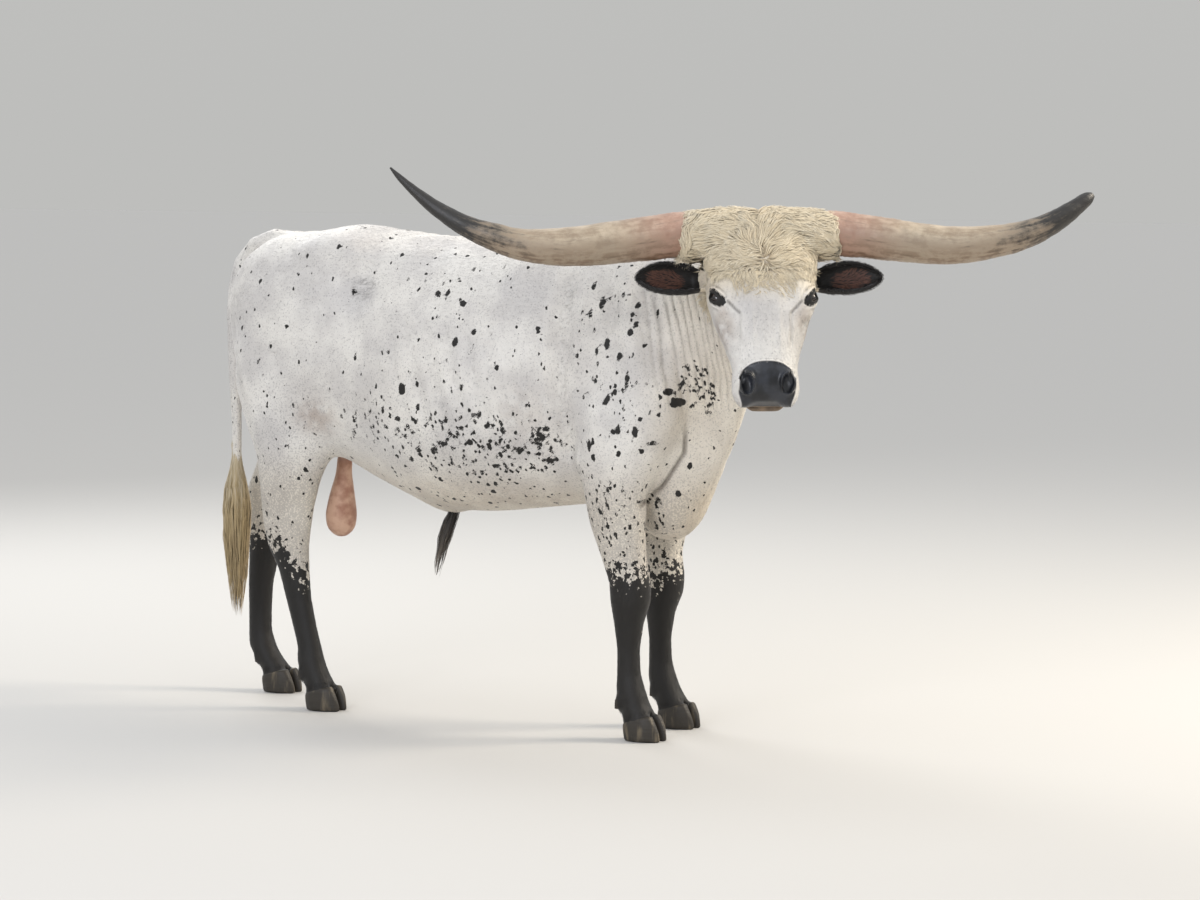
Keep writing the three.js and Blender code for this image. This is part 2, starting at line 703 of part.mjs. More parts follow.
function switchLocks() {
  const random = dice(23);
  const locks = [];
  for (let i = 0; i < SWITCH.locks; i++) {
    const about = i * 2.399 + 0.3 * random();
    const start = SWITCH.top - 12 - (i % 4) * 62 - 20 * random();
    const end = Math.max(238, start - 250 - 130 * random());
    const turn = 0.5 * (random() - 0.5);
    const points = [];
    const faces = [];
    for (let k = 0; k <= 4; k++) {
      const z = THREE.MathUtils.lerp(start, end, k / 4);
      const out = k === 0 ? 0.3 * reachAt(z) : reachAt(z) - 0.5 * SWITCH.thick + (k === 4 ? 2 : 0);
      const angle = about + turn * (k / 4) + 0.12 * Math.sin(2.2 * k + i);
      const way = vec(Math.cos(angle), Math.sin(angle), 0);
      points.push(vec(SWITCH.x, SWITCH.y, z).addScaledVector(way, Math.max(3, out)));
      faces.push(way);
    }
    locks.push(lock(points, faces, SWITCH.width, SWITCH.thick));
  }
  return locks;
}

function switchCore() {
  return loft(
    [
      section([-847, -30, 690], 15, 15, 15, { up: FORWARD }),
      section([-850, -30, 630], 19, 19, 19, { up: FORWARD }),
      section([-850, -30, 560], 23, 23, 23, { up: FORWARD }),
      section([-850, -30, 460], 22, 22, 22, { up: FORWARD }),
      section([-850, -30, 360], 14, 14, 14, { up: FORWARD }),
      section([-850, -30, 280], 5, 5, 5, { up: FORWARD }),
    ],
    { sides: 8, steps: 1 },
  );
}

// Scrotum and sheath
function scrotumBody(grow) {
  return loft(
    [
      section([-470, -6, 800], 30, 34, 40, { up: FORWARD }),
      section([-474, -6, 730], 22, 24, 26, { up: FORWARD }),
      section([-478, -7, 670], 26, 26, 28, { up: FORWARD }),
      section([-484, -8, 610], 40, 38, 40, { up: FORWARD }),
      section([-488, -8, 555], 49, 48, 48, { up: FORWARD }),
      section([-488, -8, 515], 44, 42, 42, { up: FORWARD }),
      section([-487, -8, 490], 18, 18, 18, { up: FORWARD }),
    ],
    { sides: 12, steps: 1, grow },
  );
}

function sheathBody(grow) {
  return loft(
    [
      section([-300, 0, 690], 26, 30, 30),
      section([-220, 0, 640], 32, 34, 34),
      section([-140, 0, 606], 34, 36, 34),
      section([-80, 0, 590], 28, 30, 26),
      section([-56, 0, 586], 14, 16, 12),
    ],
    { sides: 10, steps: 1, grow },
  );
}

// The tuft that hangs from the sheath, swept back.
function tuftLocks() {
  const random = dice(41);
  const ways = [
    [0.9, 0.2, 0.92],
    [-1, 0.1, 1],
    [-0.2, 1, 0.7],
    [-0.3, -1, 0.8],
    [0.6, -0.85, 0.55],
    [0.6, 0.9, 0.6],
  ];
  return ways.map(([forward, left, long]) => {
    const face = vec(forward, left, 0).normalize();
    const points = [0, 1, 2, 3].map((k) => {
      const t = k / 3;
      const drop = 200 * long * t;
      const spread = [8, 16, 13, 7][k];
      const back = 0.0007 * drop * drop + 4 * random() * t;
      return vec(-98 - back + 1.25 * spread * face.x, 0.8 * spread * face.y - 6 * t, 584 - drop);
    });
    return lock(points, points.map(() => face), 22, 11);
  });
}

function tuftCore() {
  return loft(
    [
      section([-96, 0, 590], 15, 22, 22, { up: FORWARD }),
      section([-98, -1, 560], 12, 17, 17, { up: FORWARD }),
      section([-104, -3, 510], 6, 9, 9, { up: FORWARD }),
      section([-112, -4, 470], 2, 3, 3, { up: FORWARD }),
    ],
    { sides: 6, steps: 1 },
  );
}

// Assembly

const legSolids = Object.fromEntries(
  Object.entries(LEGS).map(([name, leg]) => [name, limb(leg.rows, leg.side)]),
);
const flank = (leg) => vec(leg.hoofX, 0, leg.cut);

let flesh = join(torsoBody(), neckBody(), dewlapBody(), sheathBody(0), rumpBones(1), rumpBones(-1));
for (const [name, leg] of Object.entries(LEGS)) {
  const [upper] = partAt(legSolids[name], flank(leg), UPWARD);
  const seat = flank(leg).addScaledVector(UPWARD, GAP);
  const [, lowerGrown] = partAt(limb(leg.rows, leg.side, GAP), seat, UPWARD);
  flesh = flesh.add(upper).subtract(lowerGrown);
}
const headFlesh = join(faceBody(), orbits(1), orbits(-1), jawBody(), pollBody());
flesh = flesh.add(headFlesh);

// The seams behind the skull, at the base of the neck and under the wool
const NAPE = inHead(190, 0, -250);
const NAPE_NORMAL = OUT_OF_FACE.clone().multiplyScalar(0.97).addScaledVector(DOWN_FACE, 0.2);
const NECK_BASE = vec(672, 0, 1330);
const NECK_BASE_NORMAL = vec(0.885, 0, 0.466);
const BROW = inHead(150, 0, 0);
const [headPart, trunk] = partAt(flesh, NAPE, NAPE_NORMAL);
const [neckPart, torsoPart] = partAt(trunk, NECK_BASE, NECK_BASE_NORMAL);
const [belowPoll, pollPart] = partAt(headPart, BROW, DOWN_FACE);

const nodes = new Map();
const put = (name, made, paint) => nodes.set(name, { made: largest(made), paint });

// Eyes in their sockets, ears and horns in their roots
for (const [name, side] of [["left", 1], ["right", -1]]) {
  put("eye_" + name, eyeball(side, 0), PAINT.eye);
  put("horn_" + name, horn(side), PAINT.horn);
  put("ear_" + name, earBody(side), PAINT.black);
}
const socket = (side) => eyeball(side, GAP).add(lidOpening(side));
const earRoot = (side) => loft(earSections(side, false), { sides: 12, steps: 1, grow: GAP, frame: HEAD });
const cutters = join(horn(1, GAP), horn(-1, GAP), socket(1), socket(-1), earRoot(1), earRoot(-1));
const slit = lipSlit();
const pits = join(nostril(1), nostril(-1));
const upperHead = belowPoll.subtract(join(cutters, mouthBlock(0, -120, GAP), slit, pits));
const PAD_TOP = inHead(402, 0, -24);
const PAD_NORMAL = DOWN_FACE.clone().multiplyScalar(0.82).addScaledVector(OUT_OF_FACE, 0.57);
const [muzzlePart, facePart] = partAt(upperHead, PAD_TOP, PAD_NORMAL);
put("head", facePart, PAINT.coat);
put("muzzle", muzzlePart, PAINT.nose);
put("chin", belowPoll.intersect(mouthBlock(0, -120)).subtract(slit), PAINT.coat);
const [, wool] = partAt(join(pollPart, woolLocks(headFlesh)), BROW, DOWN_FACE);
put("poll", wool.subtract(cutters), PAINT.woolly);
put("neck", neckPart.subtract(cutters), PAINT.coat);

// Legs, claws and dewclaws
for (const [name, leg] of Object.entries(LEGS)) {
  const { point, normal } = coronetPlane(leg.hoofX);
  const [, lower] = partAt(legSolids[name], flank(leg), UPWARD);
  const [shod] = partAt(lower, point, normal);
  const joint = vec(0, 0, MID_JOINT[name.slice(0, 4)]);
  const [upperLeg, lowerLeg] = partAt(shod, joint, UPWARD);
  put("leg_" + name + "_upper", upperLeg, PAINT.speckled);
  put("leg_" + name + "_lower", lowerLeg, PAINT.black);
  const grown = limb(leg.rows, leg.side, GAP);
  for (const inner of [false, true]) {
    const where = inner ? "_inner" : "_outer";
    put("claw_" + name + where, claw(leg, inner), PAINT.hoof);
    put("dewclaw_" + name + where, dewclaw(leg, inner, grown), PAINT.hoof);
  }
}

const tail = loft(tailSections(), { sides: 10, steps: 1 });
const tailGrown = loft(tailSections(), { sides: 10, steps: 1, grow: GAP });
const switchTop = vec(-847, -30, 680);
const [tailPart, tailEnd] = partAt(tail, switchTop, UPWARD);
const [, switchPart] = partAt(join(switchCore(), switchLocks()), switchTop, UPWARD);
put("tail", tailPart, PAINT.coat);
put("tail_switch", join(switchPart, tailEnd), PAINT.switchHair);

const groin = vec(0, 0, 742);
const [scrotumRoot, scrotumPart] = partAt(scrotumBody(0), groin, UPWARD);
const scrotumSeat = partAt(scrotumBody(GAP), groin.clone().addScaledVector(UPWARD, GAP), UPWARD)[1];
const TUFT_TOP = vec(0, 0, 584);
const [, tuftPart] = partAt(join(tuftCore(), tuftLocks()), TUFT_TOP, UPWARD);
put("scrotum", scrotumPart, PAINT.scrotum);
put("sheath_tuft", tuftPart.subtract(sheathBody(GAP)), PAINT.black);
const seats = join(tailGrown, scrotumSeat);
put("torso", torsoPart.add(scrotumRoot).subtract(seats), PAINT.coat);

const bull = new THREE.Group();
for (const [name, { made, paint }] of nodes) {
  const mesh = new THREE.Mesh(geometryOf(made), paint);
  mesh.name = name;
  bull.add(mesh);
}

// The whole stands centred over the origin.
const box = new THREE.Box3().setFromObject(bull);
bull.position.set(-0.5 * (box.min.x + box.max.x), -0.5 * (box.min.y + box.max.y), -box.min.z);

export default bull;
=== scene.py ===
"""A Texas longhorn bull, life size, standing with its head turned to its right.

Lengths are metres in the frame of the solids. Sizes named in mm are turned to metres where they are used.
One skin stands for all the flesh, and eyes, horns, hooves, wool and hair are pieces of their own.
"""
import math

import bmesh
import bpy
import numpy as np
import openvdb
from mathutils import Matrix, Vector


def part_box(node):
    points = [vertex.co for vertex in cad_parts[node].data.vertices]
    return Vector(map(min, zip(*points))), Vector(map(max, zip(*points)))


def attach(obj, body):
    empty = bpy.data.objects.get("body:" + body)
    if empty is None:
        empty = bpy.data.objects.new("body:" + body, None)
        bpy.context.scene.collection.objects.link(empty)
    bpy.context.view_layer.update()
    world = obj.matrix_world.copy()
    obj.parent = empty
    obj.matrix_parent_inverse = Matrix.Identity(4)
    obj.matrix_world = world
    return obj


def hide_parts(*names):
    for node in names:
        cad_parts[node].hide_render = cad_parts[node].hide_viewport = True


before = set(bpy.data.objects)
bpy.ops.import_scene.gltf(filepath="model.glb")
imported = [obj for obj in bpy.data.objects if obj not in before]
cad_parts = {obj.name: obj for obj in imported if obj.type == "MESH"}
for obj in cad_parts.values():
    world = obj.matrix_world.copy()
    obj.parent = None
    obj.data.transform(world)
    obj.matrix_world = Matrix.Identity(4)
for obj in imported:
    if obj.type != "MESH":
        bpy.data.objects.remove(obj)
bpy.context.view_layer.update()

MM = 0.001

# Places: the head's own directions, and the middle of the barrel on the ground

HEAD_TURN = math.radians(-54)
HEAD_TILT = math.radians(26)
EYE_MM = np.array([221.0, 117.0, -38.0])
POLL_FROM_BARREL = np.array([1.070, -0.292, 1.440])

heading = np.array([math.cos(HEAD_TURN), math.sin(HEAD_TURN), 0.0])
down_face = heading * math.sin(HEAD_TILT) - np.array([0, 0, math.cos(HEAD_TILT)])
head_left = np.cross([0, 0, 1], heading)
HEAD_AXES = np.array([down_face, head_left, np.cross(down_face, head_left)])


def middle(node):
    low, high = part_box(node)
    return (np.array(low) + np.array(high)) / 2


eye_middle = (middle("eye_left") + middle("eye_right")) / 2
POLL = eye_middle - np.array([EYE_MM[0], 0, EYE_MM[2]]) * MM @ HEAD_AXES
BARREL = POLL - POLL_FROM_BARREL


def head_mm(points):
    """Points in the head's own directions: down the face, to its left, out of the forehead."""
    return (points - POLL) @ HEAD_AXES.T / MM


def from_head(mm):
    return POLL + np.asarray(mm, float) * MM @ HEAD_AXES


def body_mm(points):
    """Points along the body, from the middle of the barrel: forward, to its left, up."""
    return (points - BARREL) / MM


def from_body(mm):
    return BARREL + np.asarray(mm, float) * MM


def ramp(value, start, end):
    """0 before start and 1 after end, with a smooth change."""
    t = np.clip((value - start) / (end - start), 0, 1)
    return t * t * (3 - 2 * t)


def hill(value, centre, half):
    """1 at the centre and 0 past half on either side."""
    return 1 - ramp(np.abs(value - centre), 0, half)


def soft_min(a, b, reach):
    """The lower of two distances, rounded where they meet."""
    h = np.clip(0.5 + 0.5 * (b - a) / reach, 0, 1)
    return b + (a - b) * h - reach * h * (1 - h)


# Distance fields


class Field:
    """Signed distances in metres on a regular grid, whose axes are the rows of axes."""

    def __init__(self, corner, size, voxel, axes):
        self.corner, self.voxel, self.axes = np.asarray(corner, float), voxel, np.asarray(axes, float)
        self.shape = tuple(int(n) for n in np.ceil(np.asarray(size) / voxel) + 1)
        self.values = None

    def local(self, points):
        return (points - self.corner) @ self.axes.T / self.voxel

    def grid_points(self, spans=(slice(None),) * 3):
        """World places of the grid's nodes, as three arrays that broadcast."""
        steps = [np.arange(n)[span] * self.voxel for n, span in zip(self.shape, spans)]
        i, j, k = np.ix_(*steps)
        first, second, third = self.axes
        return [self.corner[n] + i * first[n] + j * second[n] + k * third[n] for n in range(3)]

    def distances(self, points, triangles, band):
        """Distances to closed meshes, kept up to the band."""
        grid = openvdb.FloatGrid.createLevelSetFromPolygons(
            self.local(points).astype(np.float32),
            triangles=triangles.astype(np.uint32),
            transform=openvdb.createLinearTransform(1.0),
            halfWidth=band / self.voxel,
        )
        values = np.empty(self.shape, np.float32)
        grid.copyToArray(values)
        return values * self.voxel

    def surface(self, values, level=0.0):
        """Points and quads where the field has this level."""
        grid = openvdb.FloatGrid(float(values.max()))
        grid.copyFromArray(np.ascontiguousarray(values, np.float32))
        points, quads = grid.convertToQuads(level)
        return self.corner + points.astype(float) * self.voxel @ self.axes, quads

    def at(self, points):
        """Values at points, between the grid's nodes."""
        where = np.clip(self.local(points), 0, np.array(self.shape) - 1.001)
        base = where.astype(int)
        f = where - base
        total = 0
        for corner in np.ndindex(2, 2, 2):
            weight = np.prod(np.where(corner, f, 1 - f), axis=1)
            total = total + weight * self.values[tuple((base + corner).T)]
        return total


def blurred(values, sigma):
    """Values smoothed by three running means, close to a bell of this sigma in voxels."""
    half = max(1, int(round((math.sqrt(4 * sigma * sigma + 1) - 1) / 2)))
    width = 2 * half + 1
    for axis in (0, 1, 2):
        for _ in range(3):
            moved = np.moveaxis(values, axis, 0)
            padded = np.concatenate([moved[:1].repeat(half + 1, 0), moved, moved[-1:].repeat(half, 0)])
            sums = np.cumsum(padded, axis=0, dtype=np.float32)
            moved = (sums[width:] - sums[:-width]) / width
            values = np.moveaxis(moved, 0, axis)
    return np.ascontiguousarray(values)


def solid_of(nodes):
    """Points and triangles of several nodes of the frame."""
    points, triangles, count = [], [], 0
    for name in nodes:
        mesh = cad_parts[name].data
        co = np.empty(len(mesh.vertices) * 3, np.float32)
        mesh.vertices.foreach_get("co", co)
        mesh.calc_loop_triangles()
        tri = np.empty(len(mesh.loop_triangles) * 3, np.int32)
        mesh.loop_triangles.foreach_get("vertices", tri)
        points.append(co.reshape(-1, 3).astype(float))
        triangles.append(tri.reshape(-1, 3) + count)
        count += len(mesh.vertices)
    return np.concatenate(points), np.concatenate(triangles)


def quads_to_triangles(quads):
    return np.concatenate([quads[:, [0, 1, 2]], quads[:, [0, 2, 3]]])


class Grain:
    """Smooth seeded noise between -1 and 1, with lumps of a size in the points' own unit."""

    def __init__(self, seed):
        self.values = np.random.default_rng(seed).uniform(-1, 1, (32, 32, 32)).astype(np.float32)

    def at(self, points, size):
        where = np.asarray(points) / size
        base = np.floor(where).astype(int)
        f = where - base
        f = f * f * (3 - 2 * f)
        total = 0
        for corner in np.ndindex(2, 2, 2):
            weight = np.prod(np.where(corner, f, 1 - f), axis=-1)
            total = total + weight * self.values[tuple(np.moveaxis((base + corner) % 32, -1, 0))]
        return total


grain = Grain(11)


def loft(rings):
    """A closed mesh through rings of points, each end filled to its middle."""
    rings = np.asarray(rings, float)
    count, around = rings.shape[:2]
    points = np.concatenate([rings.reshape(-1, 3), [rings[0].mean(0)], [rings[-1].mean(0)]])
    i, j = np.meshgrid(np.arange(count - 1), np.arange(around), indexing="ij")
    a, b = i * around + j, i * around + (j + 1) % around
    quads = np.stack([a, b, b + around, a + around], -1).reshape(-1, 4)
    j = np.arange(around)
    k = (j + 1) % around
    end = (count - 1) * around
    first = np.stack([k, j, np.full(around, count * around)], -1)
    last = np.stack([end + j, end + k, np.full(around, count * around + 1)], -1)
    return points, np.concatenate([quads_to_triangles(quads), first, last])


def gather(*meshes):
    """Several meshes of points and triangles as one."""
    points, triangles, count = [], [], 0
    for p, t in meshes:
        points.append(p)
        triangles.append(t + count)
        count += len(p)
    return np.concatenate(points), np.concatenate(triangles)


def between(rows, steps):
    """Rows of numbers with smooth ones between them, through every row."""
    rows = np.asarray(rows, float)
    t = np.linspace(0, len(rows) - 1, (len(rows) - 1) * steps + 1)
    k = np.minimum(t.astype(int), len(rows) - 2)
    u = (t - k)[:, None]
    before, after = rows[np.maximum(k - 1, 0)], rows[np.minimum(k + 2, len(rows) - 1)]
    slope0, slope1 = (rows[k + 1] - before) / 2, (after - rows[k]) / 2
    return (
        (2 * u**3 - 3 * u**2 + 1) * rows[k]
        + (3 * u**2 - 2 * u**3) * rows[k + 1]
        + (u**3 - 2 * u**2 + u) * slope0
        + (u**3 - u**2) * slope1
    )


# Flesh that the wool hides, and the ears

CROWN_MM = dict(down=22, out=-84, half=200, end=52, middle=66)
# Skull rows in mm: down the face, out, half width, over, under
SKULL_ROWS = [
    (-20, -80, 88, 32, 48), (8, -82, 116, 54, 76), (70, -86, 136, 69, 104), (140, -88, 143, 81, 128),
]


def crown():
    left = np.linspace(-1, 1, 25)
    angle = np.linspace(0, 2 * np.pi, 28, endpoint=False)
    rings = []
    for t in left:
        reach = CROWN_MM["end"] + (CROWN_MM["middle"] - CROWN_MM["end"]) * (1 - t * t)
        down = CROWN_MM["down"] + reach * np.cos(angle)
        out = CROWN_MM["out"] + reach * np.sin(angle)
        rings.append(np.stack([down, np.full(28, t * CROWN_MM["half"]), out], -1))
    points, triangles = loft(rings)
    return from_head(points), triangles


def skull():
    angle = np.linspace(0, 2 * np.pi, 40, endpoint=False)
    c, s = np.cos(angle), np.sin(angle)
    rings = []
    for down, out, wide, over, under in between(SKULL_ROWS, 4):
        left = np.sign(c) * np.abs(c) ** 0.72 * wide
        rise = np.where(s > 0, np.abs(s) ** 0.72 * over, -np.abs(s) ** 0.95 * under)
        rings.append(np.stack([np.full(40, down), left, out + rise], -1))
    points, triangles = loft(rings)
    return from_head(points), triangles


EAR_ROOT_MM = np.array([130.0, 140.0, -128.0])
EAR_WALL = 5.5
# Ear rows in mm: out along the ear, half height, depth of the cup behind its rims
EAR_ROWS = [
    (-26, 24, 22), (6, 28, 28), (40, 38, 33), (80, 44, 32),
    (118, 43, 27), (150, 34, 20), (174, 20, 12), (186, 7, 5),
]


def ear(side):
    """A leaf of even thickness, curled forward at its rims and closed at its root."""
    outer = np.radians(np.linspace(-112, 112, 28))
    rings = []
    for along, high, deep in between(EAR_ROWS, 5):
        floor = 1 - ramp(along, -5, 34)
        wall = np.minimum(EAR_WALL, 0.45 * high)
        hollow = 1 - 0.9 * floor
        ring = []
        for angles, thin in ((outer, 0.0), (outer[::-1], wall)):
            reach = 1 - thin / high
            down = high * reach * np.sin(angles)
            back = deep * np.cos(angles) - thin * np.cos(angles) * hollow
            if thin:
                back = back * hollow - (1 - hollow) * 0.4 * deep
            ring.append(np.stack([down, np.full(28, along), -back], -1))
        ring = np.concatenate(ring)
        ring[:, 0] += EAR_ROOT_MM[0] - 0.02 * along - 3 * np.sin(along / 50)
        ring[:, 2] += EAR_ROOT_MM[2] + 0.12 * along - 4
        ring[:, 1] = side * (EAR_ROOT_MM[1] + ring[:, 1])
        rings.append(ring)
    points, triangles = loft(rings)
    return from_head(points), triangles


# Relief of the body in mm, outwards: bones, muscles and folds that the plain solids leave out

# Lines along the flank in mm, from (along, up) to (along, up)
SHOULDER_BLADE = (548, 1330), (655, 985)
BEHIND_SHOULDER = (395, 1240), (418, 800)
THIGH_GROOVE = (-770, 1120), (-650, 800)
# Mounds and, less than 0, hollows of the flank in mm: height, (along, up), half sizes
MOUNDS = {
    "point_of_shoulder": (10, (520, 905), (95, 150)),
    "elbow": (9, (452, 770), (46, 60)),
    "flank_hollow": (-22, (-262, 1222), (110, 88)),
    "edge_of_loin": (7, (-215, 1316), (160, 38)),
    "stifle": (7, (-395, 835), (80, 120)),
}
RIB_SPACING, RIB_LEAN = 64, 0.28
SPINE_SPACING = 46


def line_distance(x, z, start, end):
    """Distance from points to a line between two places, and how far along it they are, from 0 to 1."""
    (x0, z0), (x1, z1) = start, end
    length2 = (x1 - x0) ** 2 + (z1 - z0) ** 2
    t = np.clip(((x - x0) * (x1 - x0) + (z - z0) * (z1 - z0)) / length2, 0, 1)
    return np.hypot(x - x0 - t * (x1 - x0), z - z0 - t * (z1 - z0)), t


def mound(x, z, centre, reach):
    """1 in the middle of an oval place on the flank, 0 outside it."""
    r = np.hypot((x - centre[0]) / reach[0], (z - centre[1]) / reach[1])
    return 1 - ramp(r, 0, 1)


def body_relief(points):
    mm = body_mm(points)
    x, y, z = mm.T
    flank = ramp(np.abs(y), 60, 130)
    blade, along = line_distance(x, z, *SHOULDER_BLADE)
    total = 12 * flank * (1 - ramp(blade, 0, 42)) * hill(along, 0.5, 0.75)
    total -= 8 * flank * (1 - ramp(np.abs(blade - 62), 0, 40)) * hill(along, 0.45, 0.6)
    behind, _ = line_distance(x, z, *BEHIND_SHOULDER)
    total -= 15 * flank * (1 - ramp(behind, 0, 52))
    for height, centre, reach in MOUNDS.values():
        total += height * flank * mound(x, z, centre, reach)
    groove, t = line_distance(x, z, *THIGH_GROOVE)
    total -= 9 * flank * (1 - ramp(groove, 0, 36)) * hill(t, 0.5, 0.7)
    ribs = hill(x, 90, 330) * hill(z, 950, 260) * flank
    total += 3.2 * ribs * np.sin(2 * np.pi * (x + RIB_LEAN * (z - 950)) / RIB_SPACING)
    spine = (1 - ramp(np.abs(y), 8, 40)) * ramp(z, 1250, 1320) * hill(x, -80, 620)
    total += spine * (3.5 + 1.2 * np.sin(2 * np.pi * x / SPINE_SPACING))
    beside_tail = mound(x, z, (-760, 1288), (60, 50)) * hill(np.abs(y), 46, 34)
    total -= 9 * beside_tail
    keel = ramp(x, 640, 740) * (1 - ramp(z, 600, 780)) * ramp(y, -70, 60)
    total -= 12 * keel
    return total + 1.8 * grain.at(mm, 60) + 0.8 * grain.at(mm, 26)


# The photo's own directions over the ground, along the body and to its left
VIEW_AHEAD = np.array([-0.530, 0.848, 0.0])
VIEW_RIGHT = np.array([0.848, 0.530, 0.0])
FOLDS = dict(first=478.0, spread=125.0, number=6, lean=0.17, top=1215, foot=880, deep=7.5)


def neck_folds(points):
    """Creases in mm down the inside of the bent neck, closer together towards the jaw."""
    mm = body_mm(points)
    _, b, c = head_mm(points).T
    z = mm[:, 2]
    across = mm @ VIEW_RIGHT - FOLDS["first"] - FOLDS["lean"] * (1190 - z)
    across = across + 0.0006 * np.clip(1000 - z, 0, None) ** 2
    across = across + 7 * grain.at(mm * [1, 1, 0.45], 70) + 3 * grain.at(mm * [1, 1, 0.3], 26)
    share = across / FOLDS["spread"]
    phase = FOLDS["number"] * np.where(share > 0, np.abs(share) ** 1.3, 0.9 * share)
    crease = 1 - np.abs(np.sin(np.pi * phase)) ** 0.6
    zone = ramp(share, -0.55, 0.15) * (1 - ramp(share, 1.45, 1.7)) * ramp(-b, 10, 60)
    zone = zone * (1 - ramp(z, FOLDS["top"], FOLDS["top"] + 50))
    zone = zone * ramp(z, FOLDS["foot"], FOLDS["foot"] + 90)
    behind_jaw = 1 - ramp(c, -225, -165)
    deep = FOLDS["deep"] * crease * zone * behind_jaw * (0.75 + 0.4 * grain.at(mm, 90))
    return -deep - brisket_crease(mm)


# The crease between the chest and the dewlap in mm: to the right in the photo, and up
CREASE = [(568, 905), (561, 790), (504, 697), (446, 648)]


def brisket_crease(mm):
    """How deep in mm the crease is at places of the body, with the shallow dip on either side of it."""
    across, z = mm @ VIEW_RIGHT, mm[:, 2]
    near_side = (1 - ramp(mm @ VIEW_AHEAD, -440, -380)) * (1 - ramp(z, 800, 925))
    deep = np.zeros(len(mm))
    for start, end in zip(CREASE, CREASE[1:]):
        away, _ = line_distance(across, z, start, end)
        deep = np.maximum(deep, 7.5 * (1 - ramp(away, 0, 9)) + 2.5 * (1 - ramp(away, 6, 26)))
    return deep * near_side * ramp(mm[:, 0], 560, 640)


# The body's flesh

FLESH = [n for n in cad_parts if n.split("_")[0] in ("torso", "neck", "head", "muzzle", "chin", "leg")]
BODY_VOXEL = 6.5 * MM
HEAD_VOXEL = 3.2 * MM


def filled(field, points, triangles, band):
    """Distances to the outside of solids that touch, without their seams."""
    shell, quads = field.surface(field.distances(points, triangles, 4 * field.voxel), 0.4 * MM)
    return field.distances(shell, quads_to_triangles(quads), band)


def near(values, reach):
    return np.nonzero(np.abs(values) < reach)


def places(field, where):
    return field.corner + np.stack(where, -1) * field.voxel @ field.axes


# Hooves: the slope of the toe, how much narrower a claw is for each mm up, and the spacing of its rings
TOE_SLOPE = math.radians(62)
HOOF_TAPER = 0.09
HOOF_RING = 1.1


def hard_max(first, second, reach):
    """The higher of two distances, rounded where they meet."""
    return -soft_min(-first, -second, reach)


def hoof_shape(node):
    """The wall of a claw or dewclaw: a claw narrows to a sloping toe, and both have growth rings."""
    points, triangles = solid_of([node])
    low, high = points.min(0), points.max(0)
    large = node.startswith("claw")
    field = Field(low - 8 * MM, high - low + 16 * MM, (2.7 if large else 1.2) * MM, np.eye(3))
    values = blurred(field.distances(points, triangles, 14 * MM), 1.3) / MM - (0 if large else 1.5)
    x, y, z = [w / MM for w in field.grid_points()]
    if large:
        toe, heel, right, left = high[0] / MM, low[0] / MM, low[1] / MM, high[1] / MM
        forward = (x - (toe + heel) / 2) / ((toe - heel) / 2)
        beside = np.abs(y - (left + right) / 2) / ((left - right) / 2)
        narrow = (beside - 1 + 0.7 * np.clip(forward - 0.05, 0, 1.2) ** 2.2) * (left - right) / 2
        wall = (x - toe) * math.sin(TOE_SLOPE) + (z - 7) * math.cos(TOE_SLOPE)
        values = hard_max(hard_max(values, narrow + HOOF_TAPER * z, 6), wall, 6)
    values = values - 0.35 * np.sin(z / HOOF_RING + (x + y) / 20) * ramp(z, 6, 14)
    return field.surface(values * MM)


def body_field(shapes):
    points, triangles = gather(solid_of(FLESH), crown(), skull())
    margin = 0.05
    low, high = points.min(0) - margin, points.max(0) + margin
    low[0] = from_body([-930, 0, 0])[0]
    field = Field(low, high - low, BODY_VOXEL, np.eye(3))
    sharp = filled(field, points, triangles, 0.07)
    legs = blurred(sharp, 6 * MM / BODY_VOXEL)
    trunk = blurred(sharp, 20 * MM / BODY_VOXEL)
    x, y, z = [w / MM for w in field.grid_points()]
    x, y, z = [w - o / MM for w, o in zip((x, y, z), BARREL)]
    at_leg = np.maximum(ramp(x, 400, 470), ramp(-x, 360, 440)) * ramp(np.abs(y), 40, 70)
    legness = at_leg * (1 - ramp(z, 600, 760))
    values = trunk + (legs - trunk) * legness
    tail = field.distances(*solid_of(["tail"]), 0.07)
    values = soft_min(values, tail, 0.022)
    pouch = blurred(field.distances(*solid_of(["scrotum"]), 0.07), 5 * MM / BODY_VOXEL)
    values = soft_min(values, pouch, 0.012)
    claws = gather(*[(points, quads_to_triangles(quads)) for points, quads in shapes.values()])
    values = soft_min(values, field.distances(*claws, 0.07) + 2 * MM, 0.02)
    where = near(values, 0.02)
    spots = places(field, where)
    height = body_mm(spots)[:, 2]
    relief = body_relief(spots) * ramp(height, 560, 760)
    values[where] -= relief.astype(np.float32) * MM
    field.values = values
    return field


# The head's flesh

EYE_RADIUS = 21.0
GAZE = np.array([-0.05, 0.84, 0.54]) / np.linalg.norm([-0.05, 0.84, 0.54])
SLIT = dict(long=18.5, upper=9.5, lower=8.0)
LID = 4.0
NOSTRIL_MM = np.array([452.0, 53.0, -50.0])
FACE_FROM = (150.0, -170.0, -190.0)
MOUTH = dict(down=450, out=-124, slope=0.075, back=372)
STITCH = from_body([860, -62, 1160])
STITCH_WAY = np.array([0.80, -0.42, 0.42]) / np.linalg.norm([0.80, -0.42, 0.42])


def eye_axes(side):
    """Along the slit of the lids towards its front corner, then up across it, and out of the eye."""
    gaze = GAZE * [1, side, 1]
    up = np.cross(gaze, [1, -0.54 * side, 0.84])
    up *= -side / np.linalg.norm(up)
    return np.array([np.cross(up, gaze) * -side, up, gaze])


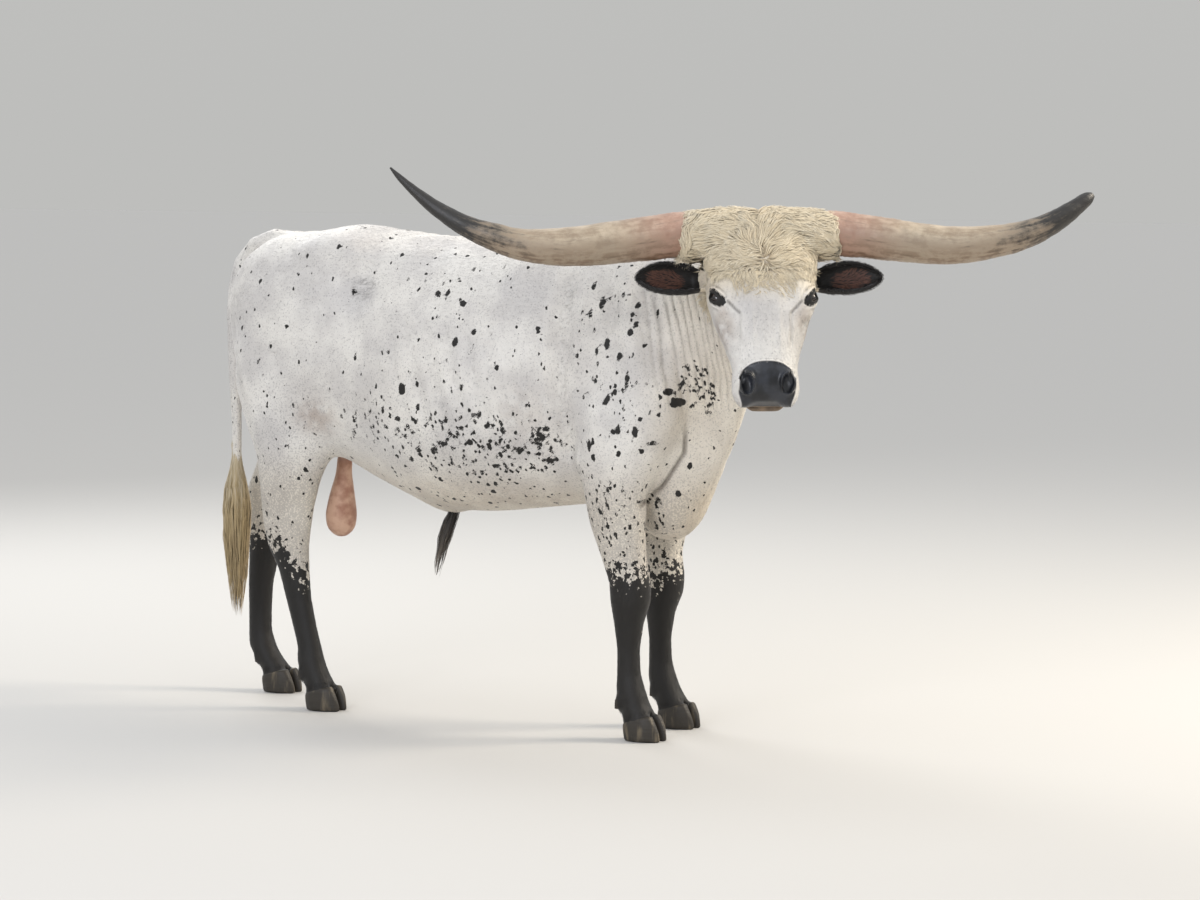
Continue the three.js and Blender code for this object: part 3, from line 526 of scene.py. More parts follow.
def eye_place(a, b, c, side):
    """Places in mm from the middle of an eyeball, along that eye's own directions."""
    centre = EYE_MM * [1, side, 1]
    q = [a - centre[0], b - centre[1], c - centre[2]]
    return [row[0] * q[0] + row[1] * q[1] + row[2] * q[2] for row in eye_axes(side)]


def slit_distance(x, y):
    """How far outside the almond between the lids a place is, in mm, less than 0 inside it."""
    high = np.where(y > 0, SLIT["upper"], SLIT["lower"])
    return (np.sqrt((x / SLIT["long"]) ** 2 + (y / high) ** 2) - 1) * high


def oval(a, b, c, centre, reach):
    """Distance in mm to an oval solid, close to its surface."""
    r2 = 0
    for value, middle_of, half in zip((a, b, c), centre, reach):
        r2 = r2 + ((value - middle_of) / half) ** 2
    return (np.sqrt(r2) - 1) * min(reach)


def bell(value, centre, width):
    return np.exp(-(((value - centre) / width) ** 2))


def lids(values, a, b, c, side):
    """Thick lids round an almond opening, with creases over the upper one and a bag under the lower one."""
    x, y, z = eye_place(a, b, c, side)
    far = np.sqrt(x * x + y * y + z * z)
    values = soft_min(values, far - EYE_RADIUS - LID, 10)
    rim = slit_distance(x, y)
    upper = 0.5 + 0.5 * np.tanh(y / 5)
    close = ramp(z, 0, 8) * (1 - ramp(far, 40, 52))
    folds = 1.7 * bell(rim, 2.6, 2.6) - upper * (3.2 * bell(rim, 8.5, 1.7) - 2.2 * bell(rim, 12.5, 2.8))
    bag = 1.6 * bell(rim, 9, 2.0) - 1.2 * bell(rim, 13, 3.5)
    folds = folds - upper * 2.0 * bell(rim, 17.5, 2.0) - (1 - upper) * bag
    values = values - folds * close
    opening = np.maximum(rim, 8 - z)
    return -soft_min(-values, opening, 2.4)


def nostril_pit(a, b, c):
    """Distance to a nostril's opening, less than 0 inside it."""
    down, left, out = NOSTRIL_MM
    pit = oval(a, b, c, (down + 7, left - 1, out + 10), (26, 16, 32))
    slot = oval(a, b, c, (down - 13, left + 13, out + 8), (22, 10, 24))
    return soft_min(pit, slot, 6)


def nostril(values, a, b, c, side):
    """A wing raised round a deep pit that runs out and up into a slot."""
    down, left, out = NOSTRIL_MM
    b = b * side
    values = soft_min(values, oval(a, b, c, (down - 2, left, out + 2), (38, 27, 34)) + 3.5, 8)
    return -soft_min(-values, nostril_pit(a, b, c), 3)


def face_relief(a, b, c):
    """Bones and hollows of the face in mm, outwards."""
    side = np.abs(b)
    total = -5 * hill(a, 205, 70) * hill(side, 62, 30) * ramp(c, -40, -10)
    crest = np.abs(c - (-62 - 0.16 * (a - 250)))
    total = total + 4.5 * (1 - ramp(crest, 0, 20)) * hill(a, 300, 100) * ramp(side, 70, 100)
    total = total - 5 * hill(a, 330, 70) * hill(c, -45, 26) * ramp(side, 40, 60)
    total = total - 2 * hill(a, 275, 40) * hill(c, -70, 40) * ramp(side, 80, 100)
    total = total + 3 * hill(side, 36, 14) * ramp(c, -34, -14) * hill(a, 330, 110)
    crease, _ = line_distance(a, side, (240, 94), (270, 68))
    total = total - 2.4 * (1 - ramp(crease, 0, 5)) * ramp(c, -62, -42)
    crease, _ = line_distance(a, side, (270, 68), (352, 66))
    return total - 1.4 * (1 - ramp(crease, 0, 5)) * ramp(c, -62, -42)


def lips(values, a, b, c):
    """The upper lip hanging full behind the nostrils, the rim round the pad, and the line of the mouth."""
    side = np.abs(b)
    values = soft_min(values, oval(a, side, c, (452, 57, -96), (46, 28, 32)), 16)
    edge = pad_distance(a, side, c)
    values = values - 1.8 * bell(edge, 1.5, 3.2) * ramp(a, 380, 396) * ramp(c, -112, -100)
    line = c - MOUTH["out"] - MOUTH["slope"] * (a - MOUTH["down"]) + 5 * ramp(side, 52, 84)
    values = values + 7 * (1 - ramp(np.abs(line), 0, 4)) * ramp(a, MOUTH["back"], MOUTH["back"] + 16)
    return values - 2.5 * hill(line, -10, 9) * ramp(a, 400, 440)


def pad_distance(a, side, c):
    """How far outside the bare pad between and round the nostrils a place is, in mm."""
    wide = 73 - 10 * ramp(a, 470, 505)
    r = ((side / wide) ** 2.6 + (np.maximum(460 - a, 0) / 58) ** 2.6) ** (1 / 2.6)
    return np.maximum((r - 1) * 62, -112 - c)


def features(values, a, b, c):
    """The head's distances in mm with its lids, nostrils and lips."""
    for side in (1, -1):
        values = lids(values, a, b, c, side)
        values = nostril(values, a, b, c, side)
    return lips(values, a, b, c)


def head_fields(body):
    """The head's distances with all its features, and without them, for finer work."""
    low, high = np.array([-140.0, -345.0, -425.0]), np.array([525.0, 345.0, 55.0])
    field = Field(from_head(low), (high - low) * MM, HEAD_VOXEL, HEAD_AXES)
    sharp = filled(field, *gather(solid_of(FLESH), crown(), skull()), 0.03) / MM
    a, b, c = np.ix_(*[start + np.arange(n) * HEAD_VOXEL / MM for start, n in zip(low, field.shape)])
    soft = blurred(sharp, 9 / (HEAD_VOXEL / MM))
    fine = blurred(sharp, 3.2 / (HEAD_VOXEL / MM))
    values = soft + (fine - soft) * (ramp(a, 350, 420) * (1 - ramp(-c, 170, 220)))
    values = values - face_relief(a, b, c)
    for side in (1, -1):
        leaf = field.distances(*ear(side), 0.03) / MM
        values = soft_min(values, leaf, 9)
    where = near(values, 20)
    spots = places(field, where)
    ahead = (spots - STITCH) @ STITCH_WAY
    mine = values[where]
    share = ramp(ahead, 0.02, 0.11)
    close = share < 1
    mine[close] = body.at(spots[close]) / MM * (1 - share[close]) + mine[close] * share[close]
    values[where] = mine
    plain_head = Field(from_head(low), (high - low) * MM, HEAD_VOXEL, HEAD_AXES)
    plain_head.values = values
    i, j, k = [int((start - edge) * MM / HEAD_VOXEL) for start, edge in zip(FACE_FROM, low)]
    block = (slice(i, None), slice(j, -j), slice(k, None))
    field.values = values.copy()
    field.values[block] = features(values[block], a[i:], b[:, j:-j], c[..., k:])
    field.values *= MM
    return field, plain_head


def half_mesh(field, ahead):
    """A field's surface on one side of the stitch in the neck."""
    points, quads = field.surface(field.values)
    beyond = ((points - STITCH) @ STITCH_WAY) * ahead
    mesh = bpy.data.meshes.new("half")
    mesh.from_pydata(points.tolist(), [], quads[(beyond[quads] > -0.02).any(1)].tolist())
    return mesh


def skin_mesh(body, head):
    """Body and head skins cut at the neck and zipped together there, without loose scraps."""
    work = bmesh.new()
    for field, ahead in ((body, -1), (head, 1)):
        half = half_mesh(field, ahead)
        part = bmesh.new()
        part.from_mesh(half)
        plane = STITCH + STITCH_WAY * ahead * 3 * MM
        cut = part.verts[:] + part.edges[:] + part.faces[:]
        outer = STITCH_WAY * -ahead
        bmesh.ops.bisect_plane(part, geom=cut, plane_co=plane, plane_no=outer, clear_outer=True)
        loose = [v for v in part.verts if not v.link_faces]
        bmesh.ops.delete(part, geom=loose, context="VERTS")
        part.to_mesh(half)
        part.free()
        work.from_mesh(half)
    rims = [e for e in work.edges if e.is_boundary]
    rims = [e for e in rims if abs((np.array(e.verts[0].co) - STITCH) @ STITCH_WAY) < 6 * MM]
    bmesh.ops.bridge_loops(work, edges=rims)
    drop_scraps(work)
    bmesh.ops.triangulate(work, faces=[f for f in work.faces if len(f.verts) > 4])
    mesh = bpy.data.meshes.new("skin")
    work.to_mesh(mesh)
    work.free()
    return mesh


def drop_scraps(work):
    """Only the largest joined surface stays."""
    seen, scraps, largest = set(), [], []
    for start in work.verts:
        if start in seen:
            continue
        island, queue = [], [start]
        seen.add(start)
        while queue:
            vert = queue.pop()
            island.append(vert)
            for edge in vert.link_edges:
                other = edge.other_vert(vert)
                if other not in seen:
                    seen.add(other)
                    queue.append(other)
        if len(island) > len(largest):
            island, largest = largest, island
        scraps += island
    bmesh.ops.delete(work, geom=scraps, context="VERTS")


def refine(mesh, plain_head):
    """Finer faces round the eyes and on the muzzle, moved onto the exact shape."""
    for eye_reach, muzzle_from in ((46, 392), (38, 600)):
        zone = close_zone(points_of(mesh), eye_reach, muzzle_from)
        work = bmesh.new()
        work.from_mesh(mesh)
        chosen = [e for e in work.edges if zone[e.verts[0].index] and zone[e.verts[1].index]]
        bmesh.ops.subdivide_edges(work, edges=chosen, cuts=1, use_grid_fill=True)
        bmesh.ops.triangulate(work, faces=[f for f in work.faces if len(f.verts) > 4])
        work.to_mesh(mesh)
        work.free()
    points = points_of(mesh)
    zone = close_zone(points, 46, 392)
    moved = points[zone]
    for _ in range(4):
        value = exact_mm(plain_head, moved)
        slope = np.stack([exact_mm(plain_head, moved + 0.4 * MM * w) - value for w in np.eye(3)], -1) / 0.4
        step = np.clip(value / np.maximum((slope**2).sum(1), 0.2), -1.5, 1.5)
        moved = moved - slope * step[:, None] * MM
    points[zone] = moved
    mesh.vertices.foreach_set("co", points.astype(np.float32).ravel())


def crease(mesh):
    """Finer faces where the neck folds, moved in by the folds."""
    deep = neck_folds(points_of(mesh)) < -0.05
    work = bmesh.new()
    work.from_mesh(mesh)
    chosen = [e for e in work.edges if deep[e.verts[0].index] and deep[e.verts[1].index]]
    chosen = [e for e in chosen if e.calc_length() > 5 * MM]
    bmesh.ops.subdivide_edges(work, edges=chosen, cuts=1, use_grid_fill=True)
    bmesh.ops.triangulate(work, faces=[f for f in work.faces if len(f.verts) > 4])
    work.normal_update()
    work.to_mesh(mesh)
    work.free()
    points = points_of(mesh)
    normals = np.empty(len(points) * 3, np.float32)
    mesh.vertex_normals.foreach_get("vector", normals)
    points = points + normals.reshape(-1, 3) * neck_folds(points)[:, None] * MM
    mesh.vertices.foreach_set("co", points.astype(np.float32).ravel())


def close_zone(points, eye_reach, muzzle_from):
    a, _, c = head_mm(points).T
    eyes = [np.linalg.norm(head_mm(points) - EYE_MM * [1, side, 1], axis=1) for side in (1, -1)]
    return (np.minimum(*eyes) < eye_reach) | ((a > muzzle_from) & (c > -190))


def exact_mm(plain_head, points):
    return features(plain_head.at(points), *head_mm(points).T)


# Marks of the coat: each is a share from 0 to 1 at a place on the skin


# Large flecks of the right side in mm: along the body, up, width, height
FLECKS = [
    (468, 1240, 14, 25), (504, 1195, 17, 40), (453, 1175, 9, 27), (479, 1168, 9, 28), (498, 1120, 8, 24),
    (614, 1189, 12, 18), (608, 1165, 12, 17), (623, 1139, 10, 20), (615, 1120, 17, 23), (542, 1088, 17, 36),
    (513, 1066, 13, 20), (587, 1052, 14, 28), (512, 994, 9, 17), (622, 989, 14, 60), (568, 937, 15, 36),
    (607, 855, 17, 25), (657, 854, 16, 34), (511, 810, 17, 34), (671, 887, 12, 14), (697, 824, 18, 14),
    (376, 763, 13, 16), (743, 932, 18, 28), (730, 961, 18, 20), (94, 1082, 21, 28), (-75, 947, 28, 34),
    (-96, 863, 18, 18), (-20, 897, 12, 24), (-102, 834, 12, 13), (-255, 1030, 12, 21), (3, 1211, 20, 16),
    (35, 1214, 14, 25), (93, 1188, 22, 19), (148, 1113, 15, 19), (70, 975, 12, 19), (122, 957, 12, 22),
    (135, 804, 18, 18), (117, 846, 14, 13), (86, 819, 17, 11), (48, 798, 15, 12), (237, 844, 13, 15),
    (280, 789, 19, 19), (197, 743, 24, 12), (347, 827, 18, 26),
]
# Clusters of smaller flecks in mm: along the body, up, spread along, spread up, how many, size
CLUSTERS = [
    (540, 1050, 120, 190, 30, 8), (790, 975, 52, 78, 95, 7), (140, 800, 270, 95, 190, 9),
    (345, 815, 34, 60, 30, 8), (560, 640, 90, 80, 60, 8), (60, 1010, 330, 210, 80, 6),
    (-220, 850, 130, 80, 50, 8), (0, 1250, 330, 50, 22, 8), (620, 900, 110, 120, 36, 7),
    (-560, 760, 160, 220, 24, 6),
]
HEAD_EDGE = dict(back=-290, front=-235, top=-200)


def fleck_list(side):
    """Flecks of one flank, the large ones and the clusters. The left flank has them in places of its own."""
    rng = np.random.default_rng(21 if side < 0 else 22)
    rows = [list(row) for row in FLECKS]
    if side > 0:
        for row in rows:
            row[0] += rng.normal(0, 90)
            row[1] += rng.normal(0, 60)
    for x, z, wide, high, count, size in CLUSTERS:
        for _ in range(count):
            across = size * rng.uniform(0.55, 1.35)
            angle, reach = rng.uniform(0, 2 * np.pi), rng.uniform(0, 1) ** 0.6
            place = x + wide * reach * math.cos(angle), z + high * reach * math.sin(angle)
            rows.append([*place, across, across * rng.uniform(0.9, 1.9)])
    return rows


def fleck_depth(body):
    """How deep in the nearest fleck a place is in mm, at least -8."""
    x, y, z = body.T
    depth = np.full(len(x), -8.0)
    bent = x + 3 * grain.at(body, 9), z + 4 * grain.at(body[:, [1, 2, 0]], 11)
    for side in (-1, 1):
        flank = np.nonzero(y * side > 55)[0]
        fx, fz = bent[0][flank], bent[1][flank]
        order = np.argsort(fx)
        fx, fz, flank = fx[order], fz[order], flank[order]
        for x0, z0, wide, high in fleck_list(side):
            first, last = np.searchsorted(fx, (x0 - wide - 8, x0 + wide + 8))
            dx, dz = (fx[first:last] - x0) / (wide / 2), (fz[first:last] - z0) / (high / 2)
            deep = (1 - np.hypot(dx, dz)) * min(wide, high) / 2
            where = flank[first:last]
            depth[where] = np.maximum(depth[where], deep)
    return depth


def leg_blackness(x, y, z):
    """Black stockings: 1 where they are full, falling to 0 over a wide uneven edge."""
    fore = x > 0
    top = np.where(fore, np.where(y < 0, 445, 430), np.where(y < 0, 465, 455))
    inner = ramp(np.where(y < 0, y + 95, 95 - y), 0, 45)
    front = ramp(x, -600, -520) * (x < 0) * (y < 0)
    top = top - 150 * inner * (y > 0) * fore - 90 * front
    return 1 - ramp(z, top - 110, top + 150)


def marks(points):
    """Every mark's share at places on the skin, by its name."""
    body, head = body_mm(points), head_mm(points)
    x, y, z = body.T
    a, b, c = head.T
    side = np.abs(b)
    on_head = ramp(c, HEAD_EDGE["back"], HEAD_EDGE["front"]) * (a > HEAD_EDGE["top"])
    wave = 0.5 + 0.5 * grain.at(body, 150)
    leg = (1 - ramp(z, 620, 780)) * np.maximum(ramp(x, 400, 460), ramp(-x, 380, 440))
    leg = leg * ramp(np.abs(y), 30, 60)
    thigh = (1 - ramp(x, -480, -300)) * (1 - ramp(z, 760, 1080))
    ribs = mound(x, z, (120, 760), (460, 210))
    shoulder = mound(x, z, (570, 900), (190, 420))
    forearm = leg * ramp(x, 0, 1) * hill(z, 560, 190)
    out = {}
    out["spot"] = np.clip(0.5 + fleck_depth(body) / 16, 0, 1) * (1 - on_head)
    fleck = 0.05 + 0.26 * ribs + 0.10 * shoulder + 0.5 * forearm + 0.08 * thigh
    out["fleck"] = np.clip(fleck * (1 - on_head), 0, 1)
    roan = 0.10 + 0.16 * wave + 0.2 * thigh + 0.2 * ribs + 0.3 * leg
    roan = roan + 0.5 * leg * (1 - ramp(z, 560, 760))
    out["roan"] = np.clip(roan * (1 - 0.8 * on_head), 0, 1)
    stain = 0.7 * mound(x, z, (-420, 850), (110, 80)) + 0.35 * mound(x, z, (300, 860), (160, 200))
    stain = stain + 0.25 * (1 - ramp(z, 640, 720)) * (1 - leg)
    cheek = bell(a, 290, 52) * bell(side, 106, 24)
    cheek = 0.6 * cheek * ramp(c, -140, -100)
    out["stain"] = np.clip(stain * (0.4 + 0.6 * wave) * (1 - on_head) + cheek, 0, 1)
    cream = 0.1 + 0.45 * (1 - ramp(z, 600, 800)) + 0.15 * wave
    cream = cream + 0.4 * ramp(x, 620, 800) * (1 - on_head)
    cream = cream + on_head * (1 - ramp(a, 150, 260))
    out["cream"] = np.clip(cream, 0, 1)
    eyes = np.zeros(len(a))
    for way in (1, -1):
        along, up, deep = eye_place(a, b, c, way)
        rim = slit_distance(along, up)
        lid = 1 - ramp(rim - 2.5 * (up > 0), 6, 9)
        brow = (1 - ramp(np.abs(rim - 9), 1, 4)) * (up > -4) * 0.75
        close = ramp(deep, -4, 4) * (np.hypot(along, up) < 40)
        eyes = np.maximum(eyes, np.maximum(lid, brow) * close)
    tear, _ = line_distance(a, side, (238, 97), (269, 67))
    below, _ = line_distance(a, side, (269, 67), (334, 66))
    tear = np.maximum(0.7 * (1 - ramp(tear, 0, 7)), 0.2 * (1 - ramp(below, 0, 8)))
    out["tear"] = tear * ramp(c, -60, -44) * on_head
    # Painted shade: near black inside the deep nostril pits
    out["pit"] = (1 - ramp(nostril_pit(a, side, c), -7, 0)) * on_head
    ears = on_head * ramp(side, 150, 162) * (1 - ramp(c, -95, -80)) * ramp(a, 60, 84)
    black = leg_blackness(x, y, z) * leg
    out["dark"] = np.clip(np.maximum.reduce([black, eyes * on_head, ears]), 0, 1)
    edge = pad_distance(a, side, c)
    # Painted shade: the coat darkened along the creases of the neck and brisket
    out["fold"] = np.clip(-neck_folds(points) / FOLDS["deep"], 0, 1) ** 2
    out["pad"] = (1 - ramp(edge, -1, 2.5)) * on_head * ramp(a, 380, 390)
    out["lip"] = ramp(a, 425, 450) * (1 - ramp(c, -112, -104)) * ramp(c, -190, -165) * on_head
    middle_x, middle_y, _ = body_mm(middle("scrotum"))
    pouch = (1 - ramp(np.abs(x - middle_x), 62, 84)) * (1 - ramp(np.abs(y - middle_y), 54, 66))
    out["pouch"] = pouch * (1 - ramp(z, 700, 770))
    return out


MARK_SETS = {
    "marks_hair": ("spot", "fleck", "roan"),
    "marks_tint": ("stain", "cream", "dark"),
    "marks_skin": ("pad", "lip", "pouch"),
    "marks_deep": ("fold", "tear", "pit"),
}


def give(mesh, name, values):
    """A value for every point of a mesh, kept under a name for its material."""
    kind, key = ("FLOAT_VECTOR", "vector") if values.ndim == 2 else ("FLOAT", "value")
    layer = mesh.attributes.new(name, kind, "POINT")
    layer.data.foreach_set(key, np.ascontiguousarray(values, np.float32).ravel())


def points_of(mesh):
    co = np.empty(len(mesh.vertices) * 3, np.float32)
    mesh.vertices.foreach_get("co", co)
    return co.reshape(-1, 3).astype(float)


def give_marks(mesh, places_on_skin):
    """The marks of the coat at places on the skin, three to a name, with the places themselves."""
    found = marks(places_on_skin)
    give(mesh, "place", places_on_skin)
    for name, keys in MARK_SETS.items():
        give(mesh, name, np.stack([found[key] for key in keys], -1))


# Materials

MATH, MIX, NOISE, RAMP = "ShaderNodeMath", "ShaderNodeMix", "ShaderNodeTexNoise", "ShaderNodeMapRange"
VECTOR, MAPPING, NAMED = "ShaderNodeVectorMath", "ShaderNodeMapping", "ShaderNodeAttribute"
SPLIT, CELLS, BUMP = "ShaderNodeSeparateXYZ", "ShaderNodeTexVoronoi", "ShaderNodeBump"
# Settings of the math nodes: first plus second, first less second, first times second, and that plus third
PLUS, LESS = dict(operation="ADD"), dict(operation="SUBTRACT")
TIMES, TIMES_PLUS = dict(operation="MULTIPLY"), dict(operation="MULTIPLY_ADD")
# Settings of a map range node that gives 0 below its first limit and 1 above its second
SMOOTH = dict(interpolation_type="SMOOTHSTEP")


def linear(hex_colour):
    """A colour given as sRGB hex, as linear red, green, blue and 1."""
    parts = [int(hex_colour[i : i + 2], 16) / 255 for i in (1, 3, 5)]
    return tuple(p / 12.92 if p <= 0.04045 else ((p + 0.055) / 1.055) ** 2.4 for p in parts) + (1.0,)


def add(tree, kind, inputs, out=0, **settings):
    """A new node's output, or all of them for None: its inputs are values, colours or other outputs."""
    node = tree.nodes.new(kind)
    for key, value in settings.items():
        setattr(node, key, value)
    for key, value in inputs.items():
        if isinstance(value, bpy.types.NodeSocket):
            tree.links.new(value, node.inputs[key])
        elif isinstance(value, str):
            node.inputs[key].default_value = linear(value)
        else:
            node.inputs[key].default_value = value
    return node.outputs[out] if out is not None else node.outputs


def new_material(name, **sockets):
    """A material whose shader has these sockets set, and the tree and shader to build on."""
    made = bpy.data.materials.new(name)
    made.use_nodes = True
    shader = made.node_tree.nodes["Principled BSDF"]
    for key, value in sockets.items():
        value = linear(value) if isinstance(value, str) else value
        shader.inputs[key.replace("_", " ")].default_value = value
    return made, made.node_tree, shader


def layered(tree, colour, *layers):
    """A colour with layers over it, each a share and a colour."""
    for share, above in layers:
        colour = add(tree, MIX, {0: share, 6: colour, 7: above}, out=2, data_type="RGBA")
    return colour


def kept(tree, *names):
    """The values that the mesh keeps under these names, three to a name."""
    values = []
    for name in names:
        vector = add(tree, NAMED, {}, out="Vector", attribute_name=name)
        values += add(tree, SPLIT, {0: vector}, out=None)
    return values


def speckle(tree, place, share, cell):
    """Irregular spots in this share of the cells, which are about cell metres wide."""
    crumple = add(tree, NOISE, {"Vector": place, "Scale": 1.6 / cell, "Detail": 1.0}, out="Color")
    bent = add(tree, VECTOR, {0: crumple, 1: (-0.5, -0.5, -0.5)}, **PLUS)
    bent = add(tree, VECTOR, {0: bent, "Scale": 0.7 * cell}, operation="SCALE")
    moved = add(tree, VECTOR, {0: place, 1: bent}, **PLUS)
    moved = add(tree, MAPPING, {"Vector": moved, "Scale": (1, 1, 0.72)})
    cells = add(tree, CELLS, {"Vector": moved, "Scale": 1 / cell}, out=None)
    draw = add(tree, SPLIT, {0: cells["Color"]}, out=None)
    present = add(tree, MATH, {0: draw[0], 1: share}, operation="LESS_THAN")
    reach = add(tree, MATH, {0: draw[1], 1: 0.22, 2: 0.16}, **TIMES_PLUS)
    inside = add(tree, MATH, {0: reach, 1: cells["Distance"]}, **LESS)
    inside = add(tree, RAMP, {0: inside, 1: -0.03, 2: 0.03}, **SMOOTH)
    return add(tree, MATH, {0: inside, 1: present}, **TIMES)


# Cells in metres whose spots are about 5 and 8 mm wide
SPECKLE_CELLS = 0.012, 0.021


def coat_colour(tree):
    """White hair with grey roan, black flecks and stockings, tints of cream and brown, and painted shade in
    the creases of the neck and brisket.
    """
    place = add(tree, NAMED, {}, out="Vector", attribute_name="place")
    spot, fleck, roan, stain, cream, dark = kept(tree, "marks_hair", "marks_tint")
    fold, tear, _ = kept(tree, "marks_deep")
    # Clouds of 140 mm, rusty patches of 30 mm, blots of 16 mm and roan of 5 mm
    cloud = add(tree, NOISE, {"Vector": place, "Scale": 7.0, "Detail": 3.0}, out="Fac")
    rust = add(tree, NOISE, {"Vector": place, "Scale": 30.0, "Detail": 3.0}, out="Fac")
    dots = add(tree, NOISE, {"Vector": place, "Scale": 210.0, "Detail": 1.5}, out="Fac")
    blots = add(tree, NOISE, {"Vector": place, "Scale": 62.0, "Detail": 3.0}, out="Fac")
    cloud = add(tree, RAMP, {0: cloud, 1: 0.35, 2: 0.65}, **SMOOTH)
    roaned = add(tree, MATH, {0: roan, 1: 0.22, 2: dots}, **TIMES_PLUS)
    roaned = add(tree, RAMP, {0: roaned, 1: 0.58, 2: 0.74, 4: 0.3}, **SMOOTH)
    rust = add(tree, RAMP, {0: rust, 1: 0.25, 2: 0.6, 4: 0.75}, **SMOOTH)
    rusty = add(tree, MATH, {0: stain, 1: rust}, **TIMES)
    grit = add(tree, MATH, {0: blots, 1: 1.7, 2: -1.1}, **TIMES_PLUS)
    grit = add(tree, MATH, {0: dots, 1: 0.5, 2: grit}, **TIMES_PLUS)
    stocking = add(tree, MATH, {0: dark, 1: grit}, **PLUS)
    stocking = add(tree, RAMP, {0: stocking, 1: 0.44, 2: 0.54}, **SMOOTH)
    spots = add(tree, MATH, {0: blots, 1: 0.35, 2: -0.175}, **TIMES_PLUS)
    spots = add(tree, MATH, {0: spots, 1: spot}, **PLUS)
    spots = add(tree, RAMP, {0: spots, 1: 0.47, 2: 0.56}, **SMOOTH)
    for cell in SPECKLE_CELLS:
        spots = add(tree, MATH, {0: spots, 1: speckle(tree, place, fleck, cell)}, operation="MAXIMUM")
    return layered(
        tree,
        layered(tree, "#CBC9C8", (cloud, "#E3E1DD")),
        (add(tree, MATH, {0: cream, 1: 0.6}, **TIMES), "#D9C7A4"),
        (rusty, "#7E5A3A"),
        (roaned, "#55545A"),
        # painted shade in the creases of the neck and brisket
        (add(tree, MATH, {0: fold, 1: 0.6}, **TIMES), "#5A4E44"),
        (add(tree, MATH, {0: tear, 1: 0.8}, **TIMES), "#33261C"),
        (add(tree, MATH, {0: spots, 1: stocking}, operation="MAXIMUM"), "#15120F"),
    )


def hide():
    """Short cattle coat over hide: a dry satin of fine flat hairs, broken by damp nose and bare skin, with
    painted shade in the nostril pits and the neck creases.
    """
    sheen = dict(Sheen_Weight=0.15, Sheen_Roughness=0.4)
    made, tree, shader = new_material("short_cattle_coat", Roughness=0.62, **sheen)
    place = add(tree, NAMED, {}, out="Vector", attribute_name="place")
    pad, lip, pouch, _, _, pit = kept(tree, "marks_skin", "marks_deep")
    patch = add(tree, NOISE, {"Vector": place, "Scale": 26.0, "Detail": 4.0}, out="Fac")
    patch = add(tree, RAMP, {0: patch, 1: 0.35, 2: 0.65}, **SMOOTH)
    colour = layered(
        tree,
        coat_colour(tree),
        (lip, layered(tree, "#5E5042", (patch, "#8C7862"))),
        (pouch, layered(tree, "#A27560", (patch, "#C9A48C"))),
        (pad, layered(tree, "#15171B", (patch, "#2E3138"))),
        # painted shade: the nostril pits near black
        (pit, "#030303"),
    )
    tree.links.new(colour, shader.inputs["Base Color"])
    rough = add(tree, RAMP, {0: pad, 3: 0.62, 4: 0.34})
    tree.links.new(rough, shader.inputs["Roughness"])
    # Hairs about 1 mm wide in streaks of 3 mm, and on the pad the pebbles of 3 mm that a damp nose has
    hairs = add(tree, MAPPING, {"Vector": place, "Scale": (60, 330, 90)})
    hairs = add(tree, NOISE, {"Vector": hairs, "Scale": 1.0, "Detail": 2.0}, out="Fac")
    pebbles = add(tree, CELLS, {"Vector": place, "Scale": 320.0}, out="Distance")
    pebbles = add(tree, MATH, {0: pebbles, 1: -0.5, 2: 0.5}, **TIMES_PLUS)
    height = add(tree, MIX, {0: pad, 2: hairs, 3: pebbles})
    bump = add(tree, BUMP, {"Height": height, "Strength": 0.16, "Distance": 0.0012})
    tree.links.new(bump, shader.inputs["Normal"])
    return made


